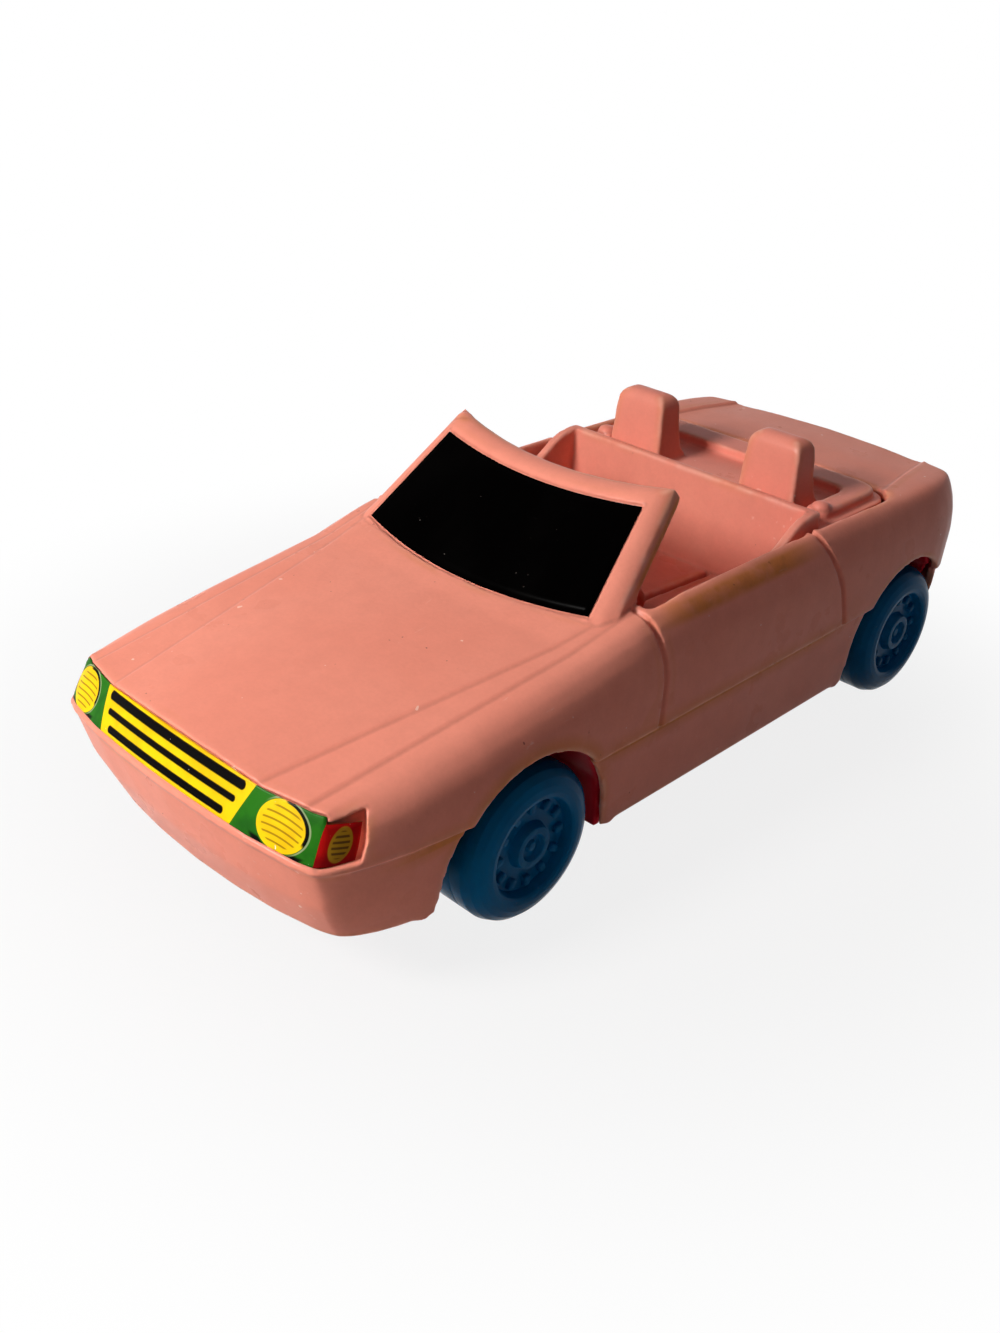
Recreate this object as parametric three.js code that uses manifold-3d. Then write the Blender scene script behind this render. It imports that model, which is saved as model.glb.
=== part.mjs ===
// Pink toy convertible for small play figures, with two free-rolling wheelsets.
// Millimetres, +Z up, nose towards -Y, the car's left side towards +X, wheels standing on Z = 0.
import * as THREE from "three";
import { mergeVertices } from "three/addons/utils/BufferGeometryUtils.js";
import Module from "manifold-3d";

const wasm = await Module();
wasm.setup();

// Driving dimensions
const FRONT_OVERHANG = 32.4;
const WHEELBASE = 80.2;
const REAR_OVERHANG = 15.4;
const WIDTH = 52.4;
const WHEEL_RADIUS = 10;
const WHEEL_WIDTH = 8;
const AXLE_RADIUS = 1.5;
const SILL_Z = 7;
const CREASE_Z = 18.4;
const COWL_Z = 31.2;
const BELT_Z = 33.2;
const SCREEN_TOP_Z = 45;
const WALL = 1.8;

// Fits and clearances
const SEAT_GAP = 0.3;
const SIDE_GAP = 0.4;
const PRESS_GAP = 0.05;
const RUNNING_GAP = 0.25;
const ARCH_GAP = 2.9;
const TUB_GAP = 0.6;
const LABEL_GAP = 0.12;
const CUT_MARGIN = 1;

// Body form
const HALF = WIDTH / 2;
const LENGTH = FRONT_OVERHANG + WHEELBASE + REAR_OVERHANG;
const NOSE_Y = -LENGTH / 2;
const TAIL_Y = LENGTH / 2;
const FRONT_AXLE_Y = NOSE_Y + FRONT_OVERHANG;
const REAR_AXLE_Y = FRONT_AXLE_Y + WHEELBASE;
const LEDGE = 0.8;
const END_LEDGE = 0.25;
const LEDGE_DROP = 0.35;
const WING_ROUND = 4.6;
const DOOR_ROUND = 3.6;
const TAIL_ROUND = 2.9;
const SIDE_SHARE = 0.42;
const SIDE_LEAN = 0.3;
const SIDE_ROW = 2.3;
const SHOULDER_NOSE_CUT = 0.75;
const SHOULDER_TAIL_CUT = 0.55;
const SHOULDER_END_RUN = 2.5;
const LEDGE_NOSE_RUN = 9;
const LEDGE_TAIL_RUN = 6;
const NOSE_FACE = 7;
const NOSE_TOP_Z = CREASE_Z + NOSE_FACE;
const NOSE_CREASE_RISE = 1.5;
const CREASE_RISE_AHEAD = 12;
const CREASE_RISE_END = 4;
const NOSE_CREASE_ARCH = 1.0;
const CREST_DROP = 0.6;
const TAIL_DROP = 1.2;
const CREST_Z = BELT_Z - CREST_DROP;
const TAIL_TOP_Z = BELT_Z - TAIL_DROP;
const NOSE_BOW = 2.3;
const NOSE_TAPER = 3.6;
const NOSE_TAPER_RUN = 8.2;
const NOSE_CORNER = 0.6;
const CORNER_RUN = 0.8;
const NOSE_UNDERCUT = 4.2;
const NOSE_LIFT = 1.6;
const NOSE_LIFT_RUN = 14;
const LOWER_LEAN = 0.3;
const NOSE_LEAN = 2.7;
const TAIL_BOW = 1.5;
const TAIL_TAPER = 2.8;
const TAIL_TAPER_RUN = 3.6;
const TAIL_TUCK = 1;
const TAIL_UNDERCUT = 1.2;
const TAIL_LEAN = 1.6;
const TAIL_BELLY = SIDE_SHARE;
const HOOD_CROWN = 0.9;
const COWL_CROWN = 0.4;
const STEP_HEIGHT = 0.24;
const STEP_RUN = 0.22;
const BOOT_SINK = 0.4;
const HOOD_LINE_FRONT = 12.8;
const HOOD_LINE_REAR = 20.05;
const CREST_LINE_FRONT = 18.9;
const CREST_LINE_REAR = 21.2;
const BOOT_LINE_FRONT = 20.4;
const BOOT_LINE_REAR = 17.2;
const LINE_MARGIN = 0.5;
const COWL_FROM_AXLE = 13;
const DOOR_FROM_AXLE = 19;
const DOOR_TO_AXLE = 27.5;
const SCREEN_BASE_Y = FRONT_AXLE_Y + COWL_FROM_AXLE;
const DOOR_FRONT_Y = FRONT_AXLE_Y + DOOR_FROM_AXLE;
const DOOR_REAR_Y = REAR_AXLE_Y - DOOR_TO_AXLE;
const BOOT_AHEAD = 4;
const BOOT_Y = REAR_AXLE_Y - BOOT_AHEAD;
const COWL_RISE_AHEAD = 4;
const COWL_RISE_BEHIND = 2;
const TAIL_FALL_BEHIND = 2;
const TAIL_FALL_END = 3;
const HOLLOW_BELOW = 4;
const GROOVE = 0.5;
const GROOVE_WIDTH = 0.8;

// Each door seam's points: the distance behind the door line, and the share of the height
// from crease to belt.
const FRONT_SEAM = [[1, -0.01], [1.3, 0.45], [0.2, 0.85], [-0.8, 1.14]];
const REAR_SEAM = [[7.9, -0.01], [6, 0.4], [2.9, 0.78], [-0.4, 1.14]];

// Wheel arches, axles and chassis
const ARCH_RADIUS = WHEEL_RADIUS + ARCH_GAP;
const FRONT_ARCH_AHEAD = 1.2;
const REAR_ARCH_AHEAD = 2;
const FRONT_ARCH_Y = FRONT_AXLE_Y - FRONT_ARCH_AHEAD;
const REAR_ARCH_Y = REAR_AXLE_Y - REAR_ARCH_AHEAD;
const ARCH_SIDES = 36;
const ARCH_REACH = 3;
const WHEEL_INSET = 0.8;
const WHEEL_FACE_X = HALF - WHEEL_INSET;
const WHEEL_BACK_X = WHEEL_FACE_X - WHEEL_WIDTH;
const LINER_WALL = 1.2;
const LINER_RADIUS = ARCH_RADIUS + SEAT_GAP;
const ARCH_LIP = 0.8;
const REBATE_RADIUS = LINER_RADIUS + LINER_WALL + SEAT_GAP;
const LINER_SIDES = 20;
const WELL_GAP = 1.2;
const WELL_X = WHEEL_BACK_X - WELL_GAP;
const PLATE_DROP = 0.4;
const PLATE_Z = SILL_Z - PLATE_DROP;
const PLATE = 1.8;
const PLATE_TOP = PLATE_Z + PLATE;
const PLATE_FRONT = 9;
const AXLE_SIDES = 16;
const CHANNEL_GAP = 0.4;
const CHANNEL_HALF = AXLE_RADIUS + CHANNEL_GAP;
const BEARING_LENGTH = 5;
const BEARING_WALL = 2.2;
const BEARING_CAP = 1.8;
const BEARING_INSET = 2;
const BEARING_OUT = WELL_X - LINER_WALL - BEARING_INSET;
const BEARING_HALF = AXLE_RADIUS + BEARING_WALL;
const THROAT_PINCH = 0.15;
const THROAT_HALF = AXLE_RADIUS - THROAT_PINCH;
const AXLE_COVER = 2.2;
const AXLE_END_X = WHEEL_FACE_X - AXLE_COVER;

// Screws that hold the chassis to the body
const SCREW_SHANK = 1.25;
const SCREW_HEAD = 2.5;
const SCREW_HEAD_HEIGHT = 1.5;
const SCREW_LENGTH = 9;
const SCREW_SLOT = 0.6;
const SCREW_SLOT_LENGTH = 3;
const SCREW_SLOT_DEPTH = 0.7;
const BOSS_WALL = 1.9;
const PAD_WALL = 0.8;
const PAD_HEIGHT = 3.6;
const HEAD_SINK = 1.9;
const BOSS_RADIUS = SCREW_SHANK + BOSS_WALL;
const PAD_RADIUS = SCREW_HEAD + SEAT_GAP + PAD_WALL;
const PAD_TOP = PLATE_Z + PAD_HEIGHT;
const HEAD_SEAT_Z = PLATE_Z + HEAD_SINK;
const FRONT_SCREW_AHEAD = 18.5;
const REAR_SCREW_BEHIND = 5.9;
const FRONT_SCREW_Y = FRONT_AXLE_Y - FRONT_SCREW_AHEAD;
const REAR_SCREW_Y = REAR_AXLE_Y + REAR_SCREW_BEHIND;

// Windscreen
const SCREEN_AHEAD = 1.8;
const SCREEN_SINK = 1.2;
const SCREEN_FOOT_Y = SCREEN_BASE_Y - SCREEN_AHEAD;
const SCREEN_FOOT_Z = COWL_Z - SCREEN_SINK;
const SCREEN_RUN = 17.2;
const SCREEN_FOOT_IN = 3.9;
const SCREEN_TOP_IN = 8.3;
const SCREEN_FOOT_HALF = HALF - SCREEN_FOOT_IN;
const SCREEN_TOP_HALF = HALF - SCREEN_TOP_IN;
const SCREEN_THICK = 4.4;
const SCREEN_BOW = 2.4;
const SCREEN_SAG = 1.5;
const GLASS_SIDE = 0.865;
const GLASS_LOW = 0.174;
const GLASS_HIGH = 0.832;
const GLASS_DIP = 0.055;
const GLASS_SPARE = 0.015;
const BACK_LOW_RISE = 0.1;
const BACK_SIDE_SHARE = 0.97;
const RECESS_OPEN = 0.6;
const EDGE_PINCH = 0.33;
const BACK_PINCH = 0.6;
const LABEL = 0.2;
const LABEL_RECESS = 0.4;
const SCREEN_BACK_RECESS = 1.8;

// Cockpit opening and interior tub
const DOOR_TOP = 3.9;
const OPEN_HALF = HALF - DOOR_TOP;
const OPEN_BEHIND_DOOR = 0.5;
const OPEN_FRONT_Y = DOOR_FRONT_Y + OPEN_BEHIND_DOOR;
const OPEN_TO_AXLE = 3.4;
const OPEN_REAR_Y = REAR_AXLE_Y - OPEN_TO_AXLE;
const OPEN_DEPTH = 14;
const OPEN_FRONT_CORNER = 3;
const OPEN_REAR_CORNER = 5;
const PLAN_CORNER = 0.2;
const TUB_HALF = OPEN_HALF - TUB_GAP;
const TUB_WALL = 1.4;
const TUB_UNDER_COWL = 2.5;
const TUB_FRONT_Y = OPEN_FRONT_Y - TUB_UNDER_COWL;
const TUB_FLOOR_Z = PLATE_TOP + SEAT_GAP;
const TUB_FLOOR = 1.5;
const BULKHEAD_TO_AXLE = 24.6;
const BULKHEAD_Y = REAR_AXLE_Y - BULKHEAD_TO_AXLE;
const BULKHEAD = 1.6;
const BULKHEAD_RISE = 1.5;
const BULKHEAD_TOP_Z = BELT_Z + BULKHEAD_RISE;
const TUB_SIDE_DROP = 2.4;
const TUB_SLOPE = 4;
const TUB_SIDE_TOP_Z = BELT_Z - TUB_SIDE_DROP;
const WING_RUN = 11;
const DECK_DROP = 1.2;
const DECK_TOP_Z = BELT_Z - DECK_DROP;
const DECK = 3.6;
const DECK_WALL = 1.6;
const DECK_REAR_Y = OPEN_REAR_Y - TUB_GAP;
const LIP = 0.9;
const LIP_REACH = 0.8;
const RIM = 1.4;
const RIM_TOP_Z = DECK_TOP_Z + RIM;
const RIM_MARGIN = 1.1;
const RIM_SIDE = 3.1;
const RIM_REAR = 4.9;
const RIM_ROUND = 0.5;
const RIM_BEHIND = 4.4;
const RIM_FRONT_Y = BULKHEAD_Y + RIM_BEHIND;
const KNOB_HALF = 1.35;
const KNOB_RUN = 2.8;
const KNOB_RISE = 0.9;
const SEAT_HEIGHT = 12.8;
const SEAT_TOP_Z = TUB_FLOOR_Z + SEAT_HEIGHT;
const SEAT_RUN = 17.5;
const SEAT_DIP = 0.8;
const SEAT_ROUND = 3;
const SEAT_SPLIT = 0.9;
const SEAT_GROOVE = 2.5;
const MIDDLE_PAD_HALF = 6;
const DASH_DROP = 4.4;
const DASH_TOP_Z = BELT_Z - DASH_DROP;
const DASH_RUN = 9;
const DASH_KNEE = 3;
const DASH_KNEE_SHARE = 0.6;
const DASH_ROUND = 2.2;
const DASH_SHELL = 5.4;
const HEADREST_X = 11.6;
const HEADREST_HALF = 4.75;
const HEADREST_RISE = 8.7;
const HEADREST_TOP_Z = BELT_Z + HEADREST_RISE;
const HEADREST_BEHIND = 2.9;
const HEADREST_Y = BULKHEAD_Y + HEADREST_BEHIND;
const HEADREST_FOOT = 6.6;
const HEADREST_CROWN = 5;
const HEADREST_ROUND = 2.4;
const HEADREST_LEAN = 0.5;
const HEADREST_FLARE = 2;
const HEADREST_SEAT = 0.6;
const STEER_X = 11;
const STEER_RADIUS = 3.8;
const STEER_RING = 0.6;
const STEER_OUT = 2.6;
const STEER_LEAN = 0.5;

function lerp(a, b, t) {
  return a + (b - a) * t;
}

function ramp(value, from, to) {
  const t = Math.min(1, Math.max(0, (value - from) / (to - from)));
  return t * t * (3 - 2 * t);
}

// A closed geometry as a solid that can be joined and cut.
function solid(geometry) {
  const plain = geometry.clone();
  plain.deleteAttribute("normal");
  plain.deleteAttribute("uv");
  const merged = mergeVertices(plain, 1e-4);
  return new wasm.Manifold(
    new wasm.Mesh({
      numProp: 3,
      vertProperties: merged.attributes.position.array,
      triVerts: new Uint32Array(merged.index.array),
    }),
  );
}

function block(x0, x1, y0, y1, z0, z1) {
  const box = new THREE.BoxGeometry(x1 - x0, y1 - y0, z1 - z0);
  return solid(box.translate((x0 + x1) / 2, (y0 + y1) / 2, (z0 + z1) / 2));
}

// A round bar along X from x0 to x1 about the line (y, z).
function barX(radius, x0, x1, y, z, sides) {
  const rod = new THREE.CylinderGeometry(radius, radius, x1 - x0, sides);
  return solid(rod.rotateZ(-Math.PI / 2).translate((x0 + x1) / 2, y, z));
}

function postZ(radius, x, y, z0, z1, sides) {
  const rod = new THREE.CylinderGeometry(radius, radius, z1 - z0, sides);
  return solid(rod.rotateX(Math.PI / 2).translate(x, y, (z0 + z1) / 2));
}

// A side outline in (Y, Z) carried across the car from x0 to x1.
function acrossX(shape, x0, x1) {
  const bar = new THREE.ExtrudeGeometry(shape, { depth: x1 - x0, bevelEnabled: false, curveSegments: 6 });
  const turn = new THREE.Matrix4().makeBasis(
    new THREE.Vector3(0, 1, 0),
    new THREE.Vector3(0, 0, 1),
    new THREE.Vector3(1, 0, 0),
  );
  return solid(bar.applyMatrix4(turn).translate(x0, 0, 0));
}

// A plan outline in (X, Y) carried up from z0 to z1, with its edges rounded off if a round is given.
function upZ(shape, z0, z1, round = 0) {
  const bevel = { bevelEnabled: round > 0, bevelThickness: round, bevelSize: round, bevelOffset: -round };
  const steps = { depth: z1 - z0 - 2 * round, curveSegments: 6, bevelSegments: 2 };
  return solid(new THREE.ExtrudeGeometry(shape, { ...steps, ...bevel }).translate(0, 0, z0 + round));
}

// A rectangle in plan with its own corner radius at the front and at the rear.
function roundedPlan(half, y0, y1, frontCorner, rearCorner) {
  const plan = new THREE.Shape();
  plan.moveTo(-half + frontCorner, y0);
  plan.lineTo(half - frontCorner, y0);
  plan.quadraticCurveTo(half, y0, half, y0 + frontCorner);
  plan.lineTo(half, y1 - rearCorner);
  plan.quadraticCurveTo(half, y1, half - rearCorner, y1);
  plan.lineTo(-half + rearCorner, y1);
  plan.quadraticCurveTo(-half, y1, -half, y1 - rearCorner);
  plan.lineTo(-half, y0 + frontCorner);
  plan.quadraticCurveTo(-half, y0, -half + frontCorner, y0);
  return plan;
}

// A box cut into a grid whose every grid point is set down by a rule.
function warpedBox(us, vs, ws, place) {
  const box = new THREE.BoxGeometry(1, 1, 1, us.length - 1, vs.length - 1, ws.length - 1);
  const points = box.attributes.position;
  for (let i = 0; i < points.count; i += 1) {
    const u = us[Math.round((points.getX(i) + 0.5) * (us.length - 1))];
    const v = vs[Math.round((points.getY(i) + 0.5) * (vs.length - 1))];
    const w = ws[Math.round((points.getZ(i) + 0.5) * (ws.length - 1))];
    points.setXYZ(i, ...place(u, v, w));
  }
  return solid(box);
}

function evenly(from, to, count) {
  return Array.from({ length: count + 1 }, (_, i) => lerp(from, to, i / count));
}

// Body rules, each along the car at the distance from the nose
function planHalf(fromNose) {
  const fromTail = LENGTH - fromNose;
  const nose = NOSE_TAPER * Math.exp(-fromNose / NOSE_TAPER_RUN);
  const tail = TAIL_TAPER * Math.exp(-fromTail / TAIL_TAPER_RUN);
  const corners = NOSE_CORNER * (Math.exp(-fromNose / CORNER_RUN) + Math.exp(-fromTail / CORNER_RUN));
  return HALF - nose - tail - corners;
}

function shoulderWidth(fromNose) {
  const fromTail = LENGTH - fromNose;
  const y = NOSE_Y + fromNose;
  const ahead = lerp(WING_ROUND, DOOR_ROUND, ramp(y, FRONT_AXLE_Y, DOOR_FRONT_Y));
  const round = lerp(ahead, TAIL_ROUND, ramp(y, DOOR_REAR_Y, REAR_AXLE_Y));
  const nose = SHOULDER_NOSE_CUT * Math.exp(-fromNose / SHOULDER_END_RUN);
  const tail = SHOULDER_TAIL_CUT * Math.exp(-fromTail / SHOULDER_END_RUN);
  return round * (1 - nose - tail);
}

// The step under the crease is shallow at the nose and the tail.
function ledgeDepth(fromNose) {
  const nose = 1 - Math.exp(-fromNose / LEDGE_NOSE_RUN);
  const tail = 1 - Math.exp((fromNose - LENGTH) / LEDGE_TAIL_RUN);
  return lerp(END_LEDGE, LEDGE, nose * tail);
}

function creaseZ(y) {
  const back = ramp(y, NOSE_Y - CREASE_RISE_AHEAD, FRONT_AXLE_Y - CREASE_RISE_END);
  return CREASE_Z + NOSE_CREASE_RISE * (1 - back);
}

function edgeZ(y) {
  const hood = lerp(NOSE_TOP_Z, COWL_Z, (y - NOSE_Y) / (SCREEN_BASE_Y - NOSE_Y));
  const front = lerp(hood, BELT_Z, ramp(y, SCREEN_BASE_Y - COWL_RISE_AHEAD, DOOR_FRONT_Y + COWL_RISE_BEHIND));
  const rear = lerp(front, CREST_Z, ramp(y, DOOR_REAR_Y, REAR_AXLE_Y));
  return lerp(rear, TAIL_TOP_Z, ramp(y, REAR_AXLE_Y + TAIL_FALL_BEHIND, TAIL_Y + TAIL_FALL_END));
}

// The line beside the hood panel and the boot lid, and a second line outside it along the wing.
function panelLine(y) {
  const hood = lerp(HOOD_LINE_FRONT, HOOD_LINE_REAR, Math.min(1, (y - NOSE_Y) / (SCREEN_BASE_Y - NOSE_Y)));
  const front = lerp(hood, BOOT_LINE_FRONT, ramp(y, SCREEN_BASE_Y, DOOR_REAR_Y));
  return lerp(front, BOOT_LINE_REAR, Math.max(0, (y - BOOT_Y) / (TAIL_Y - BOOT_Y)));
}

function crestLine(y) {
  return lerp(CREST_LINE_FRONT, CREST_LINE_REAR, (y - NOSE_Y) / (SCREEN_BASE_Y - NOSE_Y));
}

// Columns 0 to 1 lie on the hood and boot panel, 1.05 to 2 between the two lines,
// and 2.05 to 3 on the wing crest.
function topColumn(column, y, edge) {
  const at = Math.abs(column);
  const outer = Math.min(crestLine(y), edge - STEP_RUN - LINE_MARGIN);
  const inner = Math.min(panelLine(y), outer - 2 * STEP_RUN - LINE_MARGIN);
  const rear = ramp(y, DOOR_FRONT_Y, DOOR_REAR_Y);
  if (at <= 1) {
    const crown = lerp(HOOD_CROWN, COWL_CROWN, ramp(y, NOSE_Y, SCREEN_BASE_Y)) * (1 - at * at);
    return [(inner - STEP_RUN) * at, lerp(2 * STEP_HEIGHT, -BOOT_SINK, rear) + crown];
  }
  if (at <= 2) {
    return [lerp(inner + STEP_RUN, outer - STEP_RUN, (at - 1.05) / 0.95), lerp(STEP_HEIGHT, 0, rear)];
  }
  return [lerp(outer + STEP_RUN, edge, (at - 2.05) / 0.95), 0];
}

// How far a row between 2 and 3 has climbed from crease to top, and how far out it still is, each 0 to 1.
function sideRow(row) {
  if (row <= SIDE_ROW) {
    return [(SIDE_SHARE * (row - 2)) / (SIDE_ROW - 2), 1];
  }
  const turn = ((row - SIDE_ROW) / (3 - SIDE_ROW)) * (Math.PI / 2);
  return [lerp(SIDE_SHARE, 1, Math.sin(turn)), row >= 3 ? 0 : Math.cos(turn)];
}

// The row at a share of the climb.
function rowAt(share) {
  if (share <= SIDE_SHARE) {
    return 2 + (share / SIDE_SHARE) * (SIDE_ROW - 2);
  }
  const turn = Math.asin((share - SIDE_SHARE) / (1 - SIDE_SHARE));
  return SIDE_ROW + (turn / (Math.PI / 2)) * (3 - SIDE_ROW);
}

// Rows 0 to 1 climb the lower panel, rows 2 to 3 climb from the crease over the shoulder.
function bodyPoint(column, along, row, inset, floorZ) {
  const fromNose = along * LENGTH;
  const y = NOSE_Y + fromNose;
  const wide = planHalf(fromNose) - inset;
  const edge = wide - shoulderWidth(fromNose);
  const crease = creaseZ(y);
  const top = edgeZ(y) - inset;
  const [across, rise] = topColumn(column, y, edge);
  const ratio = across / edge;
  const arch = NOSE_CREASE_ARCH * (1 - ratio * ratio);
  const bow = ratio * ratio;
  const corner = NOSE_CORNER * ratio ** 10;
  let half;
  let z;
  let front;
  let back;
  if (row <= 1) {
    const lift = Math.exp(-fromNose / NOSE_LIFT_RUN);
    const tuck = (1 - row) ** 1.4;
    half = wide - ledgeDepth(fromNose) - LOWER_LEAN * (1 + 3 * lift) * tuck;
    z = lerp(floorZ + NOSE_LIFT * lift, crease - LEDGE_DROP + arch, row);
    front = END_LEDGE + (NOSE_UNDERCUT - END_LEDGE) * tuck;
    back = TAIL_TUCK + END_LEDGE + (TAIL_UNDERCUT - END_LEDGE) * tuck;
  } else {
    const [climb, out] = sideRow(row);
    half = lerp(edge, wide - SIDE_LEAN * climb, out);
    z = lerp(crease + arch, top + rise, climb);
    front = NOSE_LEAN * climb ** 1.2;
    const under = Math.max(0, 1 - climb / TAIL_BELLY);
    const over = Math.max(0, (climb - TAIL_BELLY) / (1 - TAIL_BELLY));
    back = TAIL_TUCK * under ** 1.5 + TAIL_LEAN * over ** 2;
  }
  const nose = NOSE_Y + front + NOSE_BOW * bow + corner + inset;
  const tail = TAIL_Y - back - TAIL_BOW * bow - corner - inset;
  return [Math.sign(column) * ratio * half, lerp(nose, tail, along), z];
}

const HALF_COLUMNS = [0.55, 1, 1.05, 2, 2.05, 3];
const COLUMNS = [...HALF_COLUMNS.map((c) => -c).reverse(), 0, ...HALF_COLUMNS];
const NOSE_STATIONS = [0, 0.004, 0.012, 0.03, 0.05];
const TAIL_STATIONS = [0.955, 0.975, 0.988, 0.996, 1];
const STATIONS = [...NOSE_STATIONS, ...evenly(0.085, 0.93, 12), ...TAIL_STATIONS];
const ROWS = [0, 0.5, 1, 2, SIDE_ROW, 2.46, 2.6, 2.74, 2.88, 3];

function bodyForm(inset) {
  return warpedBox(COLUMNS, STATIONS, ROWS, (c, t, r) => bodyPoint(c, t, r, inset, SILL_Z));
}

function roughForm(inset, floorZ) {
  const columns = [-3, -2.05, -1.05, -0.5, 0, 0.5, 1.05, 2.05, 3];
  const stations = [0, 0.015, 0.05, ...evenly(0.1, 0.9, 10), 0.95, 0.985, 1];
  const rows = [0, 1, 2, SIDE_ROW, 2.65, 3];
  return warpedBox(columns, stations, rows, (c, t, r) => bodyPoint(c, t, r, inset, floorZ));
}

// The arch over one wheel, cut through the side wall and straight-sided below the axle.
function archCutter(side, y) {
  const inside = side * (WELL_X - LINER_WALL);
  const outside = side * (HALF + ARCH_REACH);
  const from = Math.min(inside, outside);
  const to = Math.max(inside, outside);
  const round = barX(ARCH_RADIUS, from, to, y, WHEEL_RADIUS, ARCH_SIDES);
  return round.add(block(from, to, y - ARCH_RADIUS, y + ARCH_RADIUS, -ARCH_REACH, WHEEL_RADIUS));
}

// The room around a wheel that the liner takes, from the inside up to a thin lip of the side wall.
function archRebate(side, y) {
  const inside = side * (WELL_X - LINER_WALL);
  const outside = side * HALF;
  const from = Math.min(inside, outside);
  const to = Math.max(inside, outside);
  const round = barX(REBATE_RADIUS, from, to, y, WHEEL_RADIUS, LINER_SIDES);
  return round.add(block(from, to, y - REBATE_RADIUS, y + REBATE_RADIUS, -ARCH_REACH, WHEEL_RADIUS));
}

// A narrow strip along a door seam's curve in (Y, Z), carried through both sides of the car.
function doorSeam(doorY, points) {
  const curve = new THREE.SplineCurve(
    points.map(([behind, share]) => new THREE.Vector2(doorY + behind, lerp(CREASE_Z, BELT_Z, share))),
  );
  const steps = evenly(0, 1, 6);
  const side = (sign) =>
    steps.map((t) => {
      const tangent = curve.getTangent(t);
      const offset = new THREE.Vector2(-tangent.y, tangent.x).multiplyScalar((sign * GROOVE_WIDTH) / 2);
      return curve.getPoint(t).add(offset);
    });
  const strip = new THREE.Shape([...side(-1), ...side(1).reverse()]);
  return acrossX(strip, OPEN_HALF - WALL, HALF + WALL).add(acrossX(strip, -HALF - WALL, -OPEN_HALF + WALL));
}

// Windscreen rule: across -1 to 1, up 0 to 1 along the slope, deep in millimetres behind the front face.
const SCREEN_RISE = SCREEN_TOP_Z - SCREEN_FOOT_Z;
const SCREEN_SLOPE = Math.hypot(SCREEN_RUN, SCREEN_RISE);

function screenPoint(across, up, deep) {
  const bow = 1 - across * across;
  const half = lerp(SCREEN_FOOT_HALF, SCREEN_TOP_HALF, up);
  const y = SCREEN_FOOT_Y + SCREEN_RUN * up - SCREEN_BOW * bow + (deep * SCREEN_RISE) / SCREEN_SLOPE;
  const z = SCREEN_FOOT_Z + SCREEN_RISE * up - SCREEN_SAG * bow * up - (deep * SCREEN_RUN) / SCREEN_SLOPE;
  return [across * half, y, z];
}

// The edges of the slab are drawn in to a round.
function screenEdge(across, up, deep) {
  const nearEdge = Math.max(Math.abs(across), up);
  const pinch = nearEdge > 0.99 ? EDGE_PINCH : nearEdge > 0.94 ? EDGE_PINCH / 3 : 0;
  return screenPoint(across, up, SCREEN_THICK * lerp(pinch, 1 - pinch * BACK_PINCH, deep));
}

const SCREEN_ACROSS = [-1, -0.945, -0.865, ...evenly(-0.72, 0.72, 6), 0.865, 0.945, 1];
const GLASS_ACROSS = [-GLASS_SIDE, ...evenly(-0.72, 0.72, 6), GLASS_SIDE];

function glassPatch(spare, front, back) {
  const across = [-GLASS_SIDE - spare, ...evenly(-0.72, 0.72, 6), GLASS_SIDE + spare];
  const ups = evenly(GLASS_LOW - spare, GLASS_HIGH + spare, 3);
  const below = (u) => (GLASS_HIGH - u) / (GLASS_HIGH - GLASS_LOW);
  const dip = (a, u) => GLASS_DIP * (1 - (a / GLASS_SIDE) ** 2) * below(u);
  return warpedBox(across, [front, back], ups, (a, d, u) => screenPoint(a, u - dip(a, u), d));
}

// Body shell
const bodyOutside = bodyForm(0);
const bodyHollow = roughForm(WALL, SILL_Z - HOLLOW_BELOW);
const archRoom = roughForm(ARCH_LIP, SILL_Z - HOLLOW_BELOW);
const skin = bodyForm(-CUT_MARGIN).subtract(bodyForm(GROOVE));
const frontSeam = doorSeam(DOOR_FRONT_Y, FRONT_SEAM);
const rearSeam = doorSeam(DOOR_REAR_Y, REAR_SEAM);
const opening = upZ(
  roundedPlan(OPEN_HALF, OPEN_FRONT_Y, OPEN_REAR_Y, OPEN_FRONT_CORNER, OPEN_REAR_CORNER),
  BELT_Z - OPEN_DEPTH,
  BELT_Z + OPEN_DEPTH,
);

function screwBoss(y) {
  return postZ(BOSS_RADIUS, 0, y, PAD_TOP + SEAT_GAP, BELT_Z, 20).intersect(bodyForm(WALL / 2));
}

const SCREEN_DEPTHS = [0, 0.2, 0.8, 1];
const SCREEN_UPS = [0, 0.12, 0.25, 0.5, 0.75, 0.9, 0.955, 1];
const screenSlab = warpedBox(SCREEN_ACROSS, SCREEN_DEPTHS, SCREEN_UPS, (a, d, u) => screenEdge(a, u, d));
const screenBack = warpedBox(GLASS_ACROSS, [0, 1], [GLASS_LOW + BACK_LOW_RISE, 0.5, GLASS_HIGH], (a, d, u) =>
  screenPoint(a * BACK_SIDE_SHARE, u, lerp(SCREEN_THICK - SCREEN_BACK_RECESS, SCREEN_THICK + CUT_MARGIN, d)),
);
const screenFrame = screenSlab.subtract(bodyHollow).subtract(screenBack);

// The nose label wraps from one front wing, round the nose, to the other.
const MARKER_RUN = 0.029;
const MARKER_SINK = 0.5;
const LABEL_LOW = 0.13;
const LABEL_HIGH = 0.94;
const MARKER_HIGH = 0.84;
const MARKER_FALL = 0.2;
const LABEL_SPARE = 0.022;
const MARKER_SPARE = 0.006;
const CORNER_SPARE = 0.02;

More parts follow.
